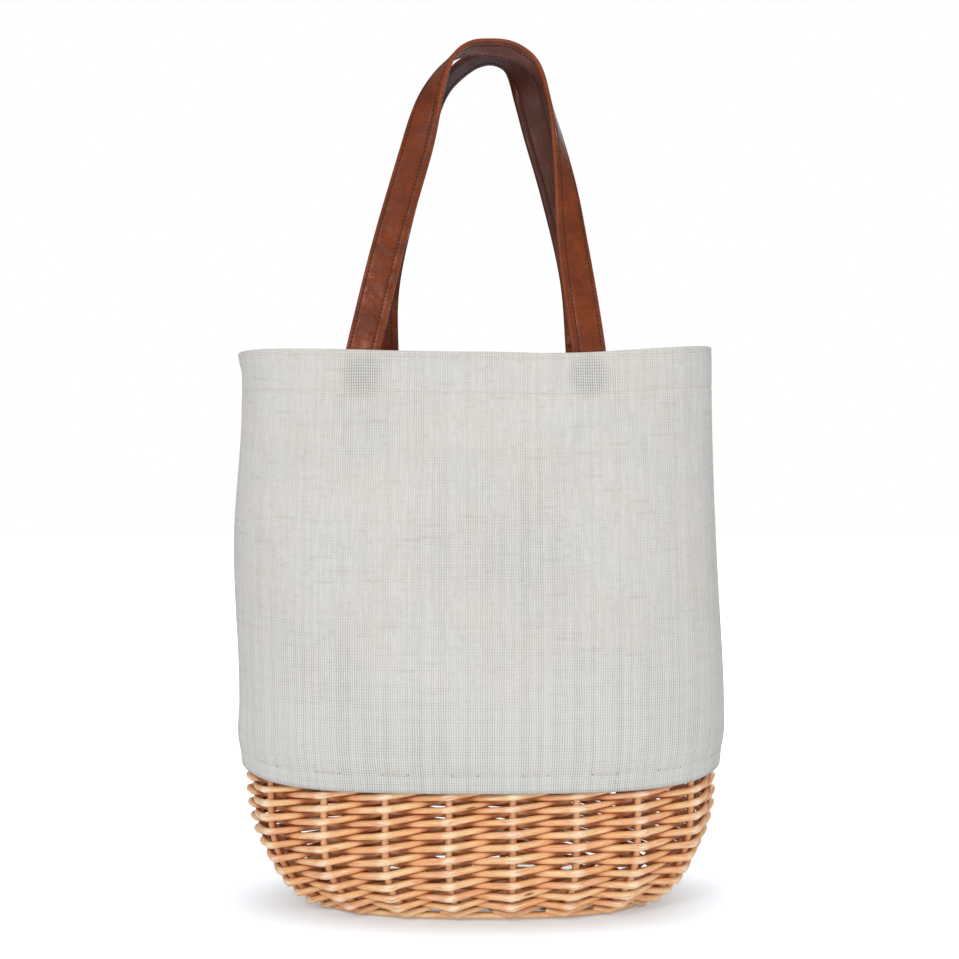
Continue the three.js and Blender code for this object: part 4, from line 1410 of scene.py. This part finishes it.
# %% [markdown]
# ## Stitches
# A stitch is a short fat bead of thread, and a seam is hundreds of them along a line, so Geometry Nodes
# lays them: the guide is cut into even steps and a small bead is set on each step along the line's
# direction. The long stitches that hold the canvas to the basket are thin rods of thread.

# %% Stitch tree
stitch_tree = new_tree("stitch_line")
add_input(stitch_tree, "Pitch", "NodeSocketFloat", 0.0031)
add_input(stitch_tree, "Stitch length", "NodeSocketFloat", 0.0022)
add_input(stitch_tree, "Thread", "NodeSocketFloat", 0.0007)
add_input(stitch_tree, "Finish", "NodeSocketMaterial")
given = add_node(stitch_tree, "NodeGroupInput").outputs
out = add_node(stitch_tree, "NodeGroupOutput")
curve = add_node(stitch_tree, "GeometryNodeMeshToCurve")
feed(stitch_tree, curve.inputs[0], given["Guide"])
steps = add_node(stitch_tree, "GeometryNodeResampleCurve", mode="LENGTH")
feed(stitch_tree, steps.inputs["Curve"], curve.outputs[0])
feed(stitch_tree, steps.inputs["Length"], given["Pitch"])
bead = add_node(stitch_tree, "GeometryNodeMeshUVSphere")
bead.inputs["Segments"].default_value = 6
bead.inputs["Rings"].default_value = 5
bead.inputs["Radius"].default_value = 0.5
heading = add_node(stitch_tree, "GeometryNodeInputTangent").outputs[0]
aim = add_node(stitch_tree, "FunctionNodeAlignRotationToVector", axis="Z")
feed(stitch_tree, aim.inputs["Vector"], heading)
lay = add_node(stitch_tree, "GeometryNodeInstanceOnPoints")
feed(stitch_tree, lay.inputs["Points"], steps.outputs[0])
feed(stitch_tree, lay.inputs["Instance"], bead.outputs[0])
feed(stitch_tree, lay.inputs["Rotation"], aim.outputs[0])
bead_size = vector(stitch_tree, given["Thread"], given["Thread"], given["Stitch length"])
feed(stitch_tree, lay.inputs["Scale"], bead_size)
finish_tree(stitch_tree, lay.outputs[0], given["Finish"], out)
print("stitch tree:", len(stitch_tree.nodes), "nodes")

# %% Thread finishes


def thread_finish(name, light, dark):
    material, tree, shader = new_material(name)
    solid = add_node(tree, "ShaderNodeTexCoord").outputs["Object"]
    fibre = grain(tree, solid, 1500.0, 1.0)
    feed(tree, shader.inputs["Base Color"], mix_colour(tree, fibre, dark, light))
    shader.inputs["Roughness"].default_value = 0.7
    feed(tree, shader.inputs["Normal"], bump(tree, fibre, 0.0002, 0.5))
    return material


strap_thread = thread_finish("strap_thread", colour(52, 28, 19), colour(24, 13, 9))
canvas_thread = thread_finish("canvas_thread", colour(222, 214, 200), colour(200, 190, 174))
print("threads:", strap_thread.name, canvas_thread.name)

# %% Strap stitches
STRAP_STITCH_LIFT = 0.1


def strap_stitches(word):
    runs = []
    for a in STITCH_LINES:
        out = strap_half_thickness(a) + STRAP_STITCH_LIFT
        for t in (-out, out):
            runs.append([Stop(turned(p + w * a + n * t, word)) for p, w, n, _ in frames[word]])
    guide = guide_line(f"{word}_strap_stitches", runs)
    sizes = {"Pitch": 3.1 * MM, "Stitch length": 2.3 * MM, "Thread": 0.9 * MM, "Finish": strap_thread}
    piece = grow(f"{word}_strap_stitches", guide, stitch_tree, **sizes)
    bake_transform(piece)
    return piece


strap_threads = [strap_stitches(word) for word in HANDLE_STOPS]
print("strap stitches:", [len(p.data.polygons) for p in strap_threads])

# %% Hem and running stitches
STITCH_START = 0.1
STITCH_SHARE = 0.36
STITCH_STEPS = 8
STITCH_LIFT = 0.15
HEM_STITCH_STEPS = 300
HEM_STITCH_START = 0.004
HEM_STITCH_SPAN = 0.992
HEM_STITCH_LIFT = 0.12


def hem_stitches(word, front):
    runs = []
    for depth in HEM_STITCH_LINES:
        height = MOUTH_HEIGHT - depth
        run = []
        for i in range(HEM_STITCH_STEPS + 1):
            share = HEM_STITCH_START + HEM_STITCH_SPAN * i / HEM_STITCH_STEPS
            run.append(Stop(canvas_point(front, share, height, -HEM_STITCH_LIFT)))
        runs.append(run)
    guide = guide_line(f"{word}_hem_stitches", runs)
    sizes = {"Pitch": 3.4 * MM, "Stitch length": 2.6 * MM, "Thread": 0.7 * MM, "Finish": canvas_thread}
    return grow(f"{word}_hem_stitches", guide, stitch_tree, **sizes)


def running_stitches(word, front):
    runs = []
    for bay in range(int(END_STAKE)):
        run = []
        for i in range(STITCH_STEPS + 1):
            place = (bay + STITCH_START + STITCH_SHARE * i / STITCH_STEPS) / END_STAKE
            run.append(Stop(canvas_point(front, place, TUCK_HEIGHT, -STITCH_LIFT)))
        runs.append(run)
    guide = guide_line(f"{word}_running_stitches", runs)
    inputs = {"Butt radius": 0.35 * MM, "Tip radius": 0.3 * MM, "Wobble": 0.15 * MM, "Sides": 6}
    inputs |= {"Seed": 3.0, "Tone": 0.5, "Finish": canvas_thread}
    return grow(f"{word}_running_stitches", guide, rod_tree, **inputs)


sewn = {"front": [], "rear": []}
for word, front in (("front", True), ("rear", False)):
    for piece in (hem_stitches(word, front), running_stitches(word, front)):
        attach(piece, "bag")
        sewn[word].append(piece)
print("canvas stitches:", {word: [len(p.data.polygons) for p in made] for word, made in sewn.items()})

# %% [markdown]
# ## Needle holes
# A thick needle drew the long stitches through, and it left a small dark hole at both ends of each. A
# hole this small needs no geometry: the canvas finish gets a dark dot wherever the cloth map says that
# a stitch goes in.

# %% Needle holes
HOLE_RADIUS = 0.0009
bay_length = PANEL_LENGTH * MM / END_STAKE
tree = canvas.node_tree
shader = tree.nodes["Principled BSDF"]
parts = add_node(tree, "ShaderNodeSeparateXYZ")
feed(tree, parts.inputs[0], add_node(tree, "ShaderNodeUVMap", uv_map="cloth").outputs[0])
bay_place = calc(tree, "FRACT", calc(tree, "DIVIDE", parts.outputs[0], bay_length))
stitch_middle = STITCH_START + STITCH_SHARE / 2
to_middle = calc(tree, "ABSOLUTE", calc(tree, "SUBTRACT", bay_place, stitch_middle))
to_end = calc(tree, "MULTIPLY", calc(tree, "SUBTRACT", to_middle, STITCH_SHARE / 2), bay_length)
to_line = calc(tree, "SUBTRACT", parts.outputs[1], (TUCK_HEIGHT - CANVAS_FOOT) * MM)
far = add_node(tree, "ShaderNodeVectorMath", operation="LENGTH")
feed(tree, far.inputs[0], vector(tree, to_end, to_line, 0.0))
hole = ramp(tree, far.outputs["Value"], HOLE_RADIUS, 0.4 * HOLE_RADIUS, 0.0, 0.8)
whole = shader.inputs["Base Color"].links[0].from_socket
feed(tree, shader.inputs["Base Color"], mix_colour(tree, hole, whole, colour(70, 62, 54)))
print("needle holes:", 2 * int(END_STAKE), "on each panel")
